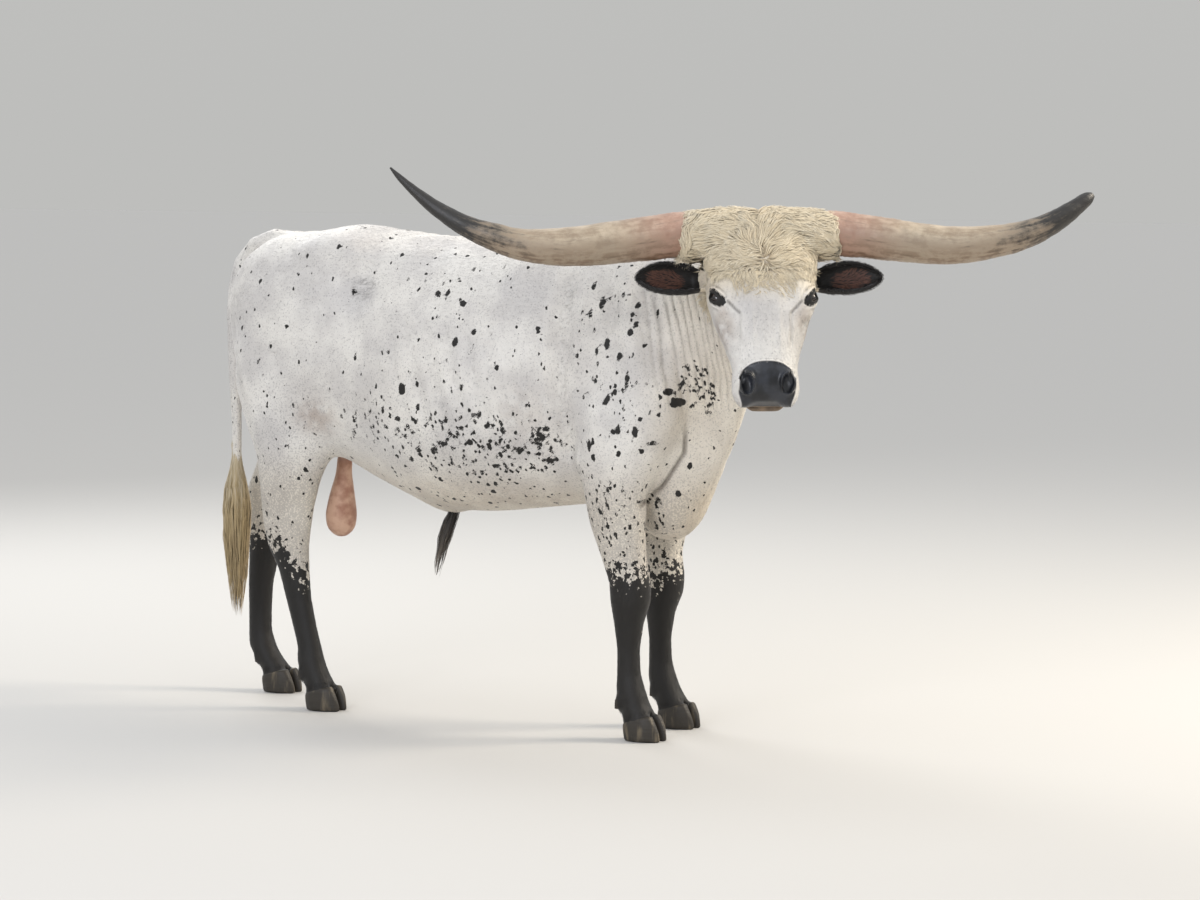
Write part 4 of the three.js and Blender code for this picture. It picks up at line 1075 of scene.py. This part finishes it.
def horn_keratin():
    """Horn, worn and dry: pink with blood at the base, cream and grey-brown along it, black at the tip, and
    painted shade in rust brown along its underside.
    """
    made, tree, shader = new_material("horn_keratin", Roughness=0.45, IOR=1.55)
    along, around, under = kept(tree, "grown")
    laid = add(tree, "ShaderNodeCombineXYZ", {0: along, 1: around, 2: 0.0})
    # Fibres about 14 mm apart round the horn and 110 mm long, and worn patches of 35 mm
    fibre = add(tree, MAPPING, {"Vector": laid, "Scale": (9, 70, 1)})
    grainy = {"Vector": fibre, "Scale": 1.0, "Detail": 4.0, "Roughness": 0.6}
    fibre = add(tree, NOISE, grainy, out="Fac")
    wear = add(tree, MAPPING, {"Vector": laid, "Scale": (26, 30, 1)})
    flaky = {"Vector": wear, "Scale": 1.0, "Detail": 6.0, "Roughness": 0.68}
    wear = add(tree, NOISE, flaky, out="Fac")
    share = add(tree, MATH, {0: along, 1: 0.9}, operation="DIVIDE")
    pale = add(tree, MATH, {0: wear, 1: 0.55}, **TIMES)
    pale = add(tree, MATH, {0: fibre, 1: 0.45, 2: pale}, **TIMES_PLUS)
    pale = add(tree, RAMP, {0: pale, 1: 0.36, 2: 0.64}, **SMOOTH)
    ground = add(tree, MATH, {0: share, 1: 0.39}, **LESS)
    ground = add(tree, MATH, {0: fibre, 1: 0.28, 2: ground}, **TIMES_PLUS)
    ground = add(tree, MATH, {0: wear, 1: 0.5, 2: ground}, **TIMES_PLUS)
    ground = add(tree, RAMP, {0: ground, 1: 0.50, 2: 0.74}, **SMOOTH)
    rusty = add(tree, MATH, {0: wear, 1: 0.5}, **TIMES)
    rusty = add(tree, MATH, {0: fibre, 1: 0.5, 2: rusty}, **TIMES_PLUS)
    rusty = add(tree, RAMP, {0: rusty, 1: 0.42, 2: 0.56, 4: 0.75}, **SMOOTH)
    colour = layered(
        tree,
        layered(tree, "#9C7866", (pale, "#BC9C8A")),
        (
            add(tree, RAMP, {0: share, 1: 0.06, 2: 0.30}, **SMOOTH),
            layered(tree, "#94836F", (pale, "#BFB09A")),
        ),
        # painted shade on the underside, in rust-brown patches
        (add(tree, MATH, {0: rusty, 1: under}, **TIMES), "#5E3F22"),
        (add(tree, RAMP, {0: fibre, 1: 0.56, 2: 0.7, 4: 0.45}, **SMOOTH), "#5A4A3A"),
        (ground, "#262422"),
    )
    tree.links.new(colour, shader.inputs["Base Color"])
    height = add(tree, MATH, {0: fibre, 1: 0.6, 2: wear}, **TIMES_PLUS)
    bump = add(tree, BUMP, {"Height": height, "Strength": 0.45, "Distance": 0.003})
    tree.links.new(bump, shader.inputs["Normal"])
    return made


def wet_eye():
    """A wet eye: nearly black brown iris, a level dark pupil, and a film that gives one sharp glint."""
    film = dict(Coat_Weight=1.0, Coat_Roughness=0.02)
    made, tree, shader = new_material("wet_eye", Roughness=0.05, IOR=1.38, **film)
    looks = add(tree, NAMED, {}, out="Vector", attribute_name="looks")
    iris = add(tree, MAPPING, {"Vector": looks, "Scale": (1, 1, 0)})
    iris = add(tree, VECTOR, {0: iris}, out="Value", operation="LENGTH")
    pupil = add(tree, MAPPING, {"Vector": looks, "Scale": (0.6, 1.25, 0)})
    pupil = add(tree, VECTOR, {0: pupil}, out="Value", operation="LENGTH")
    colour = layered(
        tree,
        "#24150D",
        (add(tree, RAMP, {0: pupil, 1: 0.22, 2: 0.30, 3: 1.0, 4: 0.0}, **SMOOTH), "#030303"),
        (add(tree, RAMP, {0: iris, 1: 0.60, 2: 0.70}, **SMOOTH), "#2A1E19"),
    )
    tree.links.new(colour, shader.inputs["Base Color"])
    return made


def long_hair(name, shade, middle_shade, tip):
    """Long cattle hair in locks, with a soft sheen along their edges and three shades from root to tip."""
    made, tree, shader = new_material(name, Roughness=0.55, Sheen_Weight=0.25)
    grown, lock, _ = kept(tree, "strand")
    past_root = add(tree, RAMP, {0: grown, 1: 0.0, 2: 0.5}, **SMOOTH)
    at_tip = add(tree, RAMP, {0: grown, 1: 0.45, 2: 1.0}, **SMOOTH)
    at_tip = add(tree, MATH, {0: at_tip, 1: lock}, **TIMES)
    colour = layered(tree, shade, (past_root, middle_shade), (at_tip, tip))
    tree.links.new(colour, shader.inputs["Base Color"])
    return made


def hoof_horn():
    """Hoof horn: dull and dark with pale streaks down the wall."""
    made, tree, shader = new_material("hoof_horn", Roughness=0.55, IOR=1.5)
    place = add(tree, NAMED, {}, out="Vector", attribute_name="place")
    # Streaks 18 mm apart, and rings of 6 mm
    streak = add(tree, MAPPING, {"Vector": place, "Scale": (55, 55, 9)})
    streak = add(tree, NOISE, {"Vector": streak, "Scale": 1.0, "Detail": 4.0}, out="Fac")
    streak = add(tree, RAMP, {0: streak, 1: 0.5, 2: 0.72, 4: 0.6}, **SMOOTH)
    ring = add(tree, MAPPING, {"Vector": place, "Scale": (8, 8, 170)})
    ring = add(tree, NOISE, {"Vector": ring, "Scale": 1.0, "Detail": 2.0}, out="Fac")
    ringed = add(tree, MATH, {0: ring, 1: 0.25}, **TIMES)
    colour = layered(tree, "#2B2721", (streak, "#8E8068"), (ringed, "#4A4238"))
    tree.links.new(colour, shader.inputs["Base Color"])
    bump = add(tree, BUMP, {"Height": ring, "Strength": 0.35, "Distance": 0.002})
    tree.links.new(bump, shader.inputs["Normal"])
    return made


# Pieces


def link(name, data):
    holder = bpy.data.objects.new(name, data)
    bpy.context.scene.collection.objects.link(holder)
    return holder


def place_mesh(name, mesh, material):
    piece = link(name, mesh)
    mesh.materials.append(material)
    mesh.shade_smooth()
    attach(piece, "root")
    return piece


def place_piece(name, points, faces, material):
    mesh = bpy.data.meshes.new(name)
    mesh.from_pydata(np.asarray(points).tolist(), [], np.asarray(faces).tolist())
    return place_mesh(name, mesh, material)


def stand_for(piece, slot, *nodes):
    """Hides the nodes of the frame that a piece takes the place of. The piece and its material slot are not
    used.
    """
    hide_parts(*nodes)


# Hair: solid locks and tufts that follow the lie of the coat over the skin


def unit(vectors):
    return vectors / np.maximum(np.linalg.norm(vectors, axis=-1, keepdims=True), 1e-9)


def outward(field, points, reach=4 * MM):
    """The way out of the skin at points."""
    ways = [field.at(points + reach * axis) - field.at(points - reach * axis) for axis in np.eye(3)]
    return unit(np.stack(ways, -1))


def grow(field, roots, lie, length, lift, curl=0.0, clump=30.0, seed=0):
    """Paths of hairs from their roots, each step along the lie and as high over the skin as lift gives.

    Neighbours bend together in clumps this many mm wide. The outward ways at the steps come back too.
    """
    steps = len(lift) - 1
    rng = np.random.default_rng(seed)
    sway = rng.uniform(-1, 1, len(roots))
    mm = head_mm(roots)
    high = 0.8 + 0.35 * grain.at(mm, 0.7 * clump) + 0.2 * sway if steps > 1 else 1 + 0.3 * sway
    point, paths, faces = roots, [], []
    out = outward(field, point)
    for k in range(steps + 1):
        wanted = lift[k] * high
        point = point + out * (wanted - field.at(point))[:, None]
        paths.append(point)
        faces.append(out)
        if k == steps:
            break
        way = lie(point, sway)
        way = unit(way - out * (way * out).sum(1)[:, None])
        turn = 0.10 * sway
        if curl:
            turn = turn + curl * grain.at(head_mm(point) * [1, 0.8, 1], clump) * 1.6
        way = unit(way + np.cross(way, out) * turn[:, None])
        point = point + way * (length / steps)[:, None]
        out = outward(field, point)
    return np.stack(paths, 1), np.stack(faces, 1)


# How wide a tuft's patch of the OFBake map is, as a share of the map
TUFT_PATCH = 0.003


def tuft_mesh(paths, faces, width, thick, profile, round_off=0.35):
    """One mesh of three-sided hairs, flat and tapered, with a map of their roots named OFBake.

    They take the light as the skin below does, with edges that lean to their sides by round_off.
    """
    count, knots = paths.shape[:2]
    way = np.gradient(paths, axis=1)
    side = unit(np.cross(faces, way))
    share = np.asarray(profile, float)[None, :, None]
    wide = 0.5 * np.broadcast_to(width, count)[:, None, None] * share
    high = np.broadcast_to(thick, count)[:, None, None] * share
    ring = np.stack([paths - side * wide, paths + side * wide, paths + faces * high], 2)[:, :-1]
    per = 3 * (knots - 1) + 1
    points = np.concatenate([ring.reshape(count, -1, 3), paths[:, -1:]], 1).reshape(-1, 3)
    triangles = [[0, 2, 1]]
    for k in range(knots - 2):
        for i in range(3):
            a, b = 3 * k + i, 3 * k + (i + 1) % 3
            triangles += [[a, b, b + 3], [a, b + 3, a + 3]]
    last = 3 * (knots - 2)
    triangles += [[last, last + 1, per - 1], [last + 1, last + 2, per - 1], [last + 2, last, per - 1]]
    triangles = (np.array(triangles)[None] + per * np.arange(count)[:, None, None]).reshape(-1, 3)
    mesh = bpy.data.meshes.new("tufts")
    mesh.vertices.add(len(points))
    mesh.vertices.foreach_set("co", points.astype(np.float32).ravel())
    mesh.loops.add(triangles.size)
    mesh.loops.foreach_set("vertex_index", triangles.ravel().astype(np.int32))
    mesh.polygons.add(len(triangles))
    mesh.polygons.foreach_set("loop_start", np.arange(0, triangles.size, 3, dtype=np.int32))
    mesh.update()
    mesh.shade_smooth()
    lean = side * round_off
    normals = np.stack([faces - lean, faces + lean, faces], 2)[:, :-1]
    normals = np.concatenate([normals.reshape(count, -1, 3), faces[:, -1:]], 1).reshape(-1, 3)
    mesh.normals_split_custom_set_from_vertices(unit(normals).astype(np.float32))
    spread = np.full((per, 2), 0.5)
    spread[:-1, 0] = np.tile([0.0, 1.0, 0.5], knots - 1)
    spread[:, 1] = np.append(np.repeat(np.arange(knots - 1) / (knots - 1), 3), 1.0)
    uv = unwrap(paths[:, 0])[:, None] + (spread[None] - 0.5) * TUFT_PATCH
    layer = mesh.uv_layers.new(name="OFBake")
    layer.data.foreach_set("uv", uv.reshape(-1, 2)[triangles.ravel()].astype(np.float32).ravel())
    locks = np.random.default_rng(count).uniform(0, 1, count)
    strand = np.stack(np.broadcast_arrays(spread[None, :, 1], locks[:, None], 0.0), -1)
    give(mesh, "strand", strand.reshape(-1, 3))
    return mesh


def unwrap(points):
    """An unwrap of the skin's own shape: trunk, head and each leg laid flat, side by side."""
    x, y, z = body_mm(points).T
    a, b, c = head_mm(points).T
    trunk = np.stack([(x + 900) / 1900, np.arctan2(y, z - 1000) / (2 * np.pi) + 0.5], -1)
    face = np.stack([(a + 150) / 680, np.arctan2(b, c + 110) / (2 * np.pi) + 0.5], -1)
    out = trunk * [0.96, 0.46] + [0.02, 0.02]
    on_head = (c > HEAD_EDGE["back"]) & (a > HEAD_EDGE["top"])
    out[on_head] = face[on_head] * [0.46, 0.46] + [0.02, 0.52]
    low = (z < 700) & (np.abs(y) > 40) & ((x > 400) | (x < -380))
    fore, left = x > 0, y > 0
    centre_x = np.where(fore, np.where(left, 535, 580), np.where(left, -850, -560))
    leg = np.stack([z / 720, np.arctan2(y - np.sign(y) * 125, x - centre_x) / (2 * np.pi) + 0.5], -1)
    corner = np.stack([0.52 + 0.24 * fore, 0.52 + 0.24 * left], -1)
    out[low] = leg[low] * 0.2 + corner[low] + 0.02
    return np.clip(out, TUFT_PATCH, 1 - TUFT_PATCH)


def scattered(mesh, density, seed):
    """Places on the skin: density gives how many tufts a square cm has."""
    rng = np.random.default_rng(seed)
    mesh.calc_loop_triangles()
    corners = np.empty(len(mesh.loop_triangles) * 3, np.int32)
    mesh.loop_triangles.foreach_get("vertices", corners)
    tri = points_of(mesh)[corners.reshape(-1, 3)]
    area = 0.5 * np.linalg.norm(np.cross(tri[:, 1] - tri[:, 0], tri[:, 2] - tri[:, 0]), axis=1)
    wanted = density(tri.mean(1)) * area / 0.01**2
    count = np.floor(wanted + rng.uniform(0, 1, len(wanted))).astype(int)
    tri = np.repeat(tri, count, 0)
    return (tri * rng.dirichlet((1, 1, 1), len(tri))[:, :, None]).sum(1)


def wool_lie(points, sway):
    """From the parting out to both horns, up and out from a whorl on the brow, and down at the sides."""
    a, b, c = head_mm(points).T
    side = np.where(np.abs(b) < 10, np.sign(sway), np.sign(b))
    front = ramp(c, -110, -60)
    whorl = (1 - ramp(np.hypot((a - 118) * 0.8, b), 30, 150)) * front
    away = unit(np.stack([a - 118, b + 12 * side, 0 * a], -1))
    fall = 0.10 + 0.25 * np.sin(b / 34 + 0.02 * a) + 0.9 * ramp(np.abs(b), 105, 175) * front
    out = np.stack([fall, side, 0 * a], -1)
    down = np.stack([1 + 0 * a, 0.35 * side, 0 * a], -1)
    way = unit(out) * (1 - whorl)[:, None] + away * whorl[:, None]
    low = ramp(a, 135, 190)
    return unit(way * (1 - low)[:, None] + down * low[:, None]) @ HEAD_AXES


def body_lie(points, sway):
    """Back and down along the trunk, down the neck and legs, and down the face to the nose."""
    x, y, z = body_mm(points).T
    a, b, c = head_mm(points).T
    way = np.stack([-1 + 0 * x, 0 * x, -0.15 - 0.55 * ramp(np.abs(y), 40, 200)], -1)
    neck = ramp(x, 560, 760)
    way = way * (1 - neck)[:, None] + np.array([-0.5, 0.2, -0.9]) * neck[:, None]
    at_leg = np.maximum(ramp(x, 400, 480), ramp(-x, 380, 460)) * (1 - ramp(z, 600, 900))
    tail = ramp(-x, 760, 820) * (1 - ramp(np.abs(y + 30), 60, 90))
    down = np.maximum(at_leg, tail)
    way = way * (1 - down)[:, None] + np.array([-0.12, 0, -1.0]) * down[:, None]
    on_head = ramp(c, -300, -250) * (a > HEAD_EDGE["top"])
    ear = ramp(np.abs(b), 150, 165)
    face = np.stack([1 - ear, 0.12 * b / 100 + ear * np.sign(b), -0.1 + 0 * a], -1)
    return way * (1 - on_head)[:, None] + unit(face) @ HEAD_AXES * on_head[:, None]


# Horns


# Horn rows in mm in the head's directions: to the side, down the face, out, radius
HORN_ROWS = {
    "right": [
        (150, 10, -87, 56), (214, 15, -85, 59), (296, 30, -78, 58.1), (376, 44, -70, 56.3),
        (462, 58, -60, 52.5), (546, 66, -50, 48.4), (628, 63, -39, 41.3), (704, 44, -30, 34.8),
        (776, 14, -25, 27.7), (840, -26, -21, 20.6), (896, -74, -20, 14.2), (940, -118, -20, 8.6),
        (966, -149, -21, 2.5),
    ],
    "left": [
        (150, 9, -87, 56), (208, 12, -85, 59), (280, 25, -78, 57.8), (352, 38, -70, 56.3),
        (430, 53, -62, 53.1), (510, 62, -53, 49.6), (592, 60, -43, 44.5), (668, 49, -34, 39.5),
        (738, 27, -27, 33.3), (798, -5, -22, 27.4), (842, -36, -20, 21.8), (870, -58, -20, 17.1),
        (884, -68, -20, 8),
    ],
}
HORN_AROUND = 60
HORN_RING = 2.6


def horn(name, material):
    """A horn with growth rings near its base and shallow lumps over its length."""
    side = 1 if name == "left" else -1
    rows = between(HORN_ROWS[name], 12)
    centre = np.stack([rows[:, 1], side * rows[:, 0], rows[:, 2]], -1)
    way = unit(np.gradient(centre, axis=0))
    up = unit(np.array([-1.0, 0, 0]) + way * way[:, :1])
    out = np.cross(way, up)
    angle = np.linspace(0, 2 * np.pi, HORN_AROUND, endpoint=False)
    along = np.concatenate([[0], np.cumsum(np.linalg.norm(np.diff(centre, axis=0), axis=1))])
    around = up[:, None] * np.cos(angle)[None, :, None] + out[:, None] * np.sin(angle)[None, :, None]
    radius = rows[:, 3][:, None]
    base = (1 - ramp(along, 90, 420))[:, None]
    smooth = centre[:, None] + around * radius[..., None]
    rings = 0.5 * base * np.sin(along[:, None] / HORN_RING + 2 * grain.at(smooth, 60))
    bumps = 0.9 * grain.at(smooth, 16) + 0.4 * grain.at(smooth, 6) + 1.6 * grain.at(smooth, 46) + rings
    points = smooth + around * (bumps * np.clip(radius / 30, 0, 1))[..., None]
    mesh_points, triangles = loft(points)
    piece = place_piece("horn_" + name + "_worn", from_head(mesh_points), triangles, material)
    # below is the share under the horn, which the horn's material turns into painted shade
    beside, below = np.abs(angle - np.pi) * 45, np.clip(-np.cos(angle), 0, 1) / MM
    grown = np.stack(np.broadcast_arrays(along[:, None], beside, below), -1).reshape(-1, 3) * MM
    give(piece.data, "grown", np.concatenate([grown, grown[:1], grown[-1:]]))
    stand_for(piece, "horn", "horn_" + name)


# Eyes


def eyeball(name, material):
    side = 1 if name == "left" else -1
    centre = middle("eye_" + name)
    axes = eye_axes(side) @ HEAD_AXES
    angle = np.linspace(0, 2 * np.pi, 64, endpoint=False)
    rings = []
    for t in np.linspace(0, np.pi, 45)[1:-1]:
        reach = EYE_RADIUS - 0.4 + 1.4 * math.exp(-((t / 0.55) ** 2))
        ring = np.stack([np.sin(t) * np.cos(angle), np.sin(t) * np.sin(angle), np.full(64, np.cos(t))], -1)
        rings.append(centre + ring * reach * MM @ axes)
    points, triangles = loft(rings)
    piece = place_piece("eyeball_" + name, points, triangles, material)
    give(piece.data, "looks", (points - centre) @ axes.T / (EYE_RADIUS * MM))
    stand_for(piece, "eye", "eye_" + name)


# Wool, short coat and hanging hair

# Locks or hairs a square cm
WOOL_DENSITY = 11.0
FACE_DENSITY = 9.0
TRUNK_DENSITY = 2.6
# Quads at most in one piece of the coat
PIECE_FACES = 190000


def wool_density(points):
    """Locks of wool a square cm on the poll and brow, clear of ears, eyes and horns."""
    a, b, c = head_mm(points).T
    side = np.abs(b)
    beside = ramp(side, 118, 150) * (1 - ramp(a, 66, 84))
    zone = (1 - ramp(a, 130, 235)) * np.where(side > 130, beside, 1)
    zone = zone * ramp(c, -300, -210) * (1 - ramp(side, 205, 214))
    over_eye = (side > 82) & (side < 140) & (a > 168)
    return WOOL_DENSITY * zone * (c > -300) * (a > HEAD_EDGE["top"]) * ~over_eye


def wool(skin):
    roots = scattered(skin, wool_density, 3)
    a = head_mm(roots)[:, 0]
    rng = np.random.default_rng(5)
    length = (62 - 46 * ramp(a, 40, 190)) * rng.uniform(0.7, 1.15, len(roots)) * MM
    fall = 1 - 0.85 * ramp(a, 60, 190)
    lift = [fall * h * MM for h in (0, 11, 15, 9)]
    paths, faces = grow(head, roots, wool_lie, length, lift, curl=0.9, clump=26, seed=6)
    width = (2.5 + 2.2 * rng.uniform(0, 1, len(roots)) ** 2) * (1 - 0.4 * ramp(a, 60, 180)) * MM
    material = long_hair("cattle_wool", "#AE9C80", "#D0C1A4", "#F0E7D2")
    for k, part in enumerate(np.array_split(np.argsort(roots[:, 1]), 3)):
        profile = (0.8, 1, 0.8, 0)
        mesh = tuft_mesh(paths[part], faces[part], width[part], 1.1 * MM, profile, round_off=0.75)
        piece = place_mesh("poll_wool_%d" % (k + 1), mesh, material)
        stand_for(piece, "poll_wool", "poll")


def coat_density(points):
    """Short hairs a square cm: most on the face, none on bare skin or under the wool."""
    a, _, c = head_mm(points).T
    on_head = (c > HEAD_EDGE["back"]) & (a > HEAD_EDGE["top"])
    return np.where(hairless(points), 0, np.where(on_head, FACE_DENSITY, TRUNK_DENSITY))


def hairless(points):
    """Whether a place has no short coat: nose, lips, lids, scrotum, soles and the skin under the wool."""
    a, b, c = head_mm(points).T
    x, y, z = body_mm(points).T
    edge = pad_distance(a, np.abs(b), c)
    pad = (edge < 3) & (a > 380) & (c > -130)
    lip = (a > 430) & (c < -108) & (c > -176) & (np.abs(b) < 76)
    eyes = np.zeros(len(a), bool)
    for side in (1, -1):
        along, up, deep = eye_place(a, b, c, side)
        eyes |= (slit_distance(along, up) < 3) & (np.abs(deep - 18) < 14)
    middle_x, middle_y, _ = body_mm(middle("scrotum"))
    pouch = (np.hypot(x - middle_x, y - middle_y) < 90) & (z < 740)
    under_wool = wool_density(points) > 8
    sole = z < 58
    return pad | lip | eyes | pouch | under_wool | sole


def coat(skin, field, material):
    """Short flat hairs over the skin, with its own marks, in pieces from the tail to the head."""
    roots = scattered(skin, coat_density, 8)
    z = body_mm(roots)[:, 2]
    a, _, c = head_mm(roots).T
    rng = np.random.default_rng(9)
    on_head = (c > HEAD_EDGE["back"]) & (a > HEAD_EDGE["top"])
    length = np.where(on_head, 9 + 6 * (1 - ramp(a, 150, 300)), 13)
    length = length * rng.uniform(0.7, 1.3, len(roots)) * MM
    length = length * (1 + 0.9 * (1 - ramp(z, 90, 170)))
    width = np.where(on_head, 1.4, 2.4) * rng.uniform(0.7, 1.2, len(roots)) * MM
    paths, faces = grow(field, roots, body_lie, length, (-0.3 * MM, 0.8 * MM), seed=10)
    order = np.argsort(roots[:, 0])
    for k, part in enumerate(np.array_split(order, math.ceil(len(order) * 4 / PIECE_FACES))):
        mesh = tuft_mesh(paths[part], faces[part], width[part], 0.35 * MM, (1, 0))
        give_marks(mesh, points_of(mesh))
        piece = place_mesh("coat_%d" % (k + 1), mesh, material)


EAR_HOLLOW = dict(side=238, down=122, long=56, high=27)


def ear_share(points):
    """0 in the middle of an ear's hollow and 1 at its edge, and whether the place is on an ear's front."""
    a, b, c = head_mm(points).T
    beside = (np.abs(b) - EAR_HOLLOW["side"]) / EAR_HOLLOW["long"]
    share = np.hypot(beside, (a - EAR_HOLLOW["down"]) / EAR_HOLLOW["high"])
    on_ear = (np.abs(b) > 168) & (a > 78) & (c > -190)
    forward = np.zeros(len(a), bool)
    forward[on_ear] = head.at(points[on_ear] + 3 * MM * HEAD_AXES[2]) > 0
    return share, forward


def ear_lie(points, sway):
    """Out from the root of the ear to its tip, and out over its rims."""
    a, b, _ = head_mm(points).T
    down = (a - EAR_HOLLOW["down"]) / 26 + 0.3 * sway
    return unit(np.stack([down, 0.9 * np.sign(b), 0 * a], -1)) @ HEAD_AXES


def ear_hair(skin):
    """Reddish hair in the hollows of the ears, and black hair round their rims."""
    inside = long_hair("ear_hair", "#2A1A14", "#5C3A2D", "#7E5747")
    rim = long_hair("ear_rim_hair", "#080706", "#14110F", "#2A2420")
    for name, material, first, last, count, length, seed in (
        ("ear_hollow_hair", inside, -1, 0.9, 9, 17, 31),
        ("ear_rim_hair", rim, 0.8, 3.0, 9, 12, 32),
    ):
        def density(points):
            share, forward = ear_share(points)
            return count * forward * (share > first) * (share < last)

        roots = scattered(skin, density, seed)
        long = length * np.random.default_rng(seed).uniform(0.7, 1.3, len(roots)) * MM
        lift = [h * MM for h in (0, 2.5, 4.5, 5)]
        paths, faces = grow(head, roots, ear_lie, long, lift, curl=0.3, clump=14, seed=seed)
        piece = place_mesh(name, tuft_mesh(paths, faces, 1.8 * MM, 0.6 * MM, (1, 0.9, 0.6, 0)), material)


def hanging(name, slot, node, material, line, reach, count, width, seed):
    """Strands round a hanging line, whose places and half widths are given from its top to its tip."""
    rng = np.random.default_rng(seed)
    knots = 11
    start = rng.uniform(0, 0.4, count) ** 1.3
    end = np.clip(start + rng.uniform(0.3, 0.75, count), 0, 1)
    t = start[:, None] + (end - start)[:, None] * np.linspace(0, 1, knots)
    rows = np.linspace(0, 1, len(line))
    centre = np.stack([np.interp(t, rows, np.asarray(line)[:, i]) for i in range(3)], -1)
    wide = np.interp(t, rows, reach)
    angle = rng.uniform(0, 2 * np.pi, count)[:, None] + 0.25 * np.sin(4 * t + rng.uniform(0, 6, (count, 1)))
    deep = np.sqrt(rng.uniform(0.08, 1, count))[:, None]
    ring = np.stack([np.cos(angle), np.sin(angle), 0 * angle], -1)
    paths = centre + ring * (wide * deep)[..., None]
    paths = paths + np.stack([grain.at(paths / MM, 24), grain.at(paths / MM, 31), 0 * t], -1) * 3 * MM
    profile = np.append(np.linspace(1, 0.55, knots - 1), 0)
    mesh = tuft_mesh(paths, ring, width * rng.uniform(0.6, 1.3, count), 0.5 * width, profile)
    stand_for(place_mesh(name, mesh, material), slot, node)


# Hooves


def hooves(shapes, material):
    for node, (points, quads) in shapes.items():
        piece = place_piece(node + "_wall", points, quads, material)
        give(piece.data, "place", points)
        stand_for(piece, "hoof", node)


# Floor, light and camera

CAMERA_FROM_BARREL = np.array([6.2609, -9.3924, 1.65])
CAMERA_PITCH = math.radians(-4.503)
FOCAL_PIXELS = 4000
PHOTO_WIDTH = 1200
FLOOR_HALF = 60


def stage():
    half = FLOOR_HALF
    corners = [(-half, -half, 0), (half, -half, 0), (half, half, 0), (-half, half, 0)]
    mesh = bpy.data.meshes.new("floor")
    mesh.from_pydata(corners, [], [(0, 1, 2, 3)])
    mesh.materials.append(new_material("pale_floor", Base_Color="#C6C4C0", Roughness=0.9)[0])
    link("floor", mesh)
    world = bpy.data.worlds.new("studio")
    bpy.context.scene.world = world
    world.use_nodes = True
    tree = world.node_tree
    up = add(tree, SPLIT, {0: add(tree, "ShaderNodeTexCoord", {}, out="Generated")}, out=2)
    above = add(tree, RAMP, {0: up, 1: 0.0, 2: 0.55}, **SMOOTH)
    sky = layered(tree, "#BEBEBC", (above, "#F4F6F9"))
    tree.links.new(sky, tree.nodes["Background"].inputs["Color"])


def softbox(name, place, size, power, tint):
    lamp = bpy.data.lights.new(name, "AREA")
    lamp.shape, lamp.size, lamp.energy = "DISK", size, power
    lamp.color = linear(tint)[:3]
    holder = link(name, lamp)
    holder.location = place
    holder.rotation_euler = (Vector((0, 0, 0.9)) - Vector(place)).to_track_quat("-Z", "Y").to_euler()


def camera():
    lens = bpy.data.cameras.new("camera")
    lens.sensor_width = 36
    lens.lens = lens.sensor_width * FOCAL_PIXELS / PHOTO_WIDTH
    holder = link("camera", lens)
    holder.location = BARREL + CAMERA_FROM_BARREL
    view = VIEW_AHEAD * math.cos(CAMERA_PITCH) + np.array([0, 0, math.sin(CAMERA_PITCH)])
    holder.rotation_euler = Vector(view).to_track_quat("-Z", "Y").to_euler()
    bpy.context.scene.camera = holder


# The whole animal


class Whole:
    """The distance to the skin anywhere, from the head's finer field ahead of the stitch."""

    def at(self, points):
        ahead = (points - STITCH) @ STITCH_WAY > 0
        out = np.empty(len(points))
        out[ahead] = head.at(points[ahead])
        out[~ahead] = body.at(points[~ahead])
        return out - neck_folds(points) * MM


hoof_shapes = {node: hoof_shape(node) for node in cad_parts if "claw" in node}
body = body_field(hoof_shapes)
head, plain_head = head_fields(body)
skin = skin_mesh(body, head)
refine(skin, plain_head)
crease(skin)
give_marks(skin, points_of(skin))
coat_material = hide()
OTHER_FLESH = "ear_left", "ear_right", "tail", "scrotum"
stand_for(place_mesh("skin", skin, coat_material), "pale_hide", *FLESH, *OTHER_FLESH)
coat(skin, Whole(), coat_material)
wool(skin)
ear_hair(skin)

horn_material, eye_material = horn_keratin(), wet_eye()
for name in ("left", "right"):
    horn(name, horn_material)
    eyeball(name, eye_material)
hooves(hoof_shapes, hoof_horn())

# Lines that the long hair hangs round, in mm from the barrel, and its reach from them in mm
SWITCH_LINE = [(-850, -30, z) for z in (770, 690, 620, 550, 470, 380, 300, 236)]
SWITCH_REACH = [9, 16, 34, 42, 40, 32, 22, 12]
SHEATH_LINE = [(-98, 0, 590), (-112, 0, 555), (-132, 0, 500), (-150, 0, 440), (-162, 0, 384)]
SHEATH_REACH = [18, 22, 19, 14, 7]

switch_material = long_hair("switch_hair", "#C2B498", "#AD9870", "#8A7350")
switch_line, switch_reach = from_body(SWITCH_LINE), np.array(SWITCH_REACH) * MM
hanging(
    "switch", "switch_hair", "tail_switch", switch_material, switch_line, switch_reach,
    count=1100, width=2.6 * MM, seed=12,
)
sheath_material = long_hair("sheath_hair", "#1D1A17", "#3A342E", "#7D7263")
sheath_line, sheath_reach = from_body(SHEATH_LINE), np.array(SHEATH_REACH) * MM
hanging(
    "sheath_hair", "dark_hair", "sheath_tuft", sheath_material, sheath_line, sheath_reach,
    count=210, width=2.2 * MM, seed=13,
)

stage()
softbox("key", (4.2, 3.2, 4.2), 2.4, 300, "#FFF3E0")
softbox("fill", (1.0, -7.5, 3.6), 4.0, 210, "#F2F5FF")
softbox("back", (-5.0, 3.0, 4.5), 3.0, 160, "#FFFFFF")
camera()
bpy.context.scene.view_settings.view_transform = "Standard"
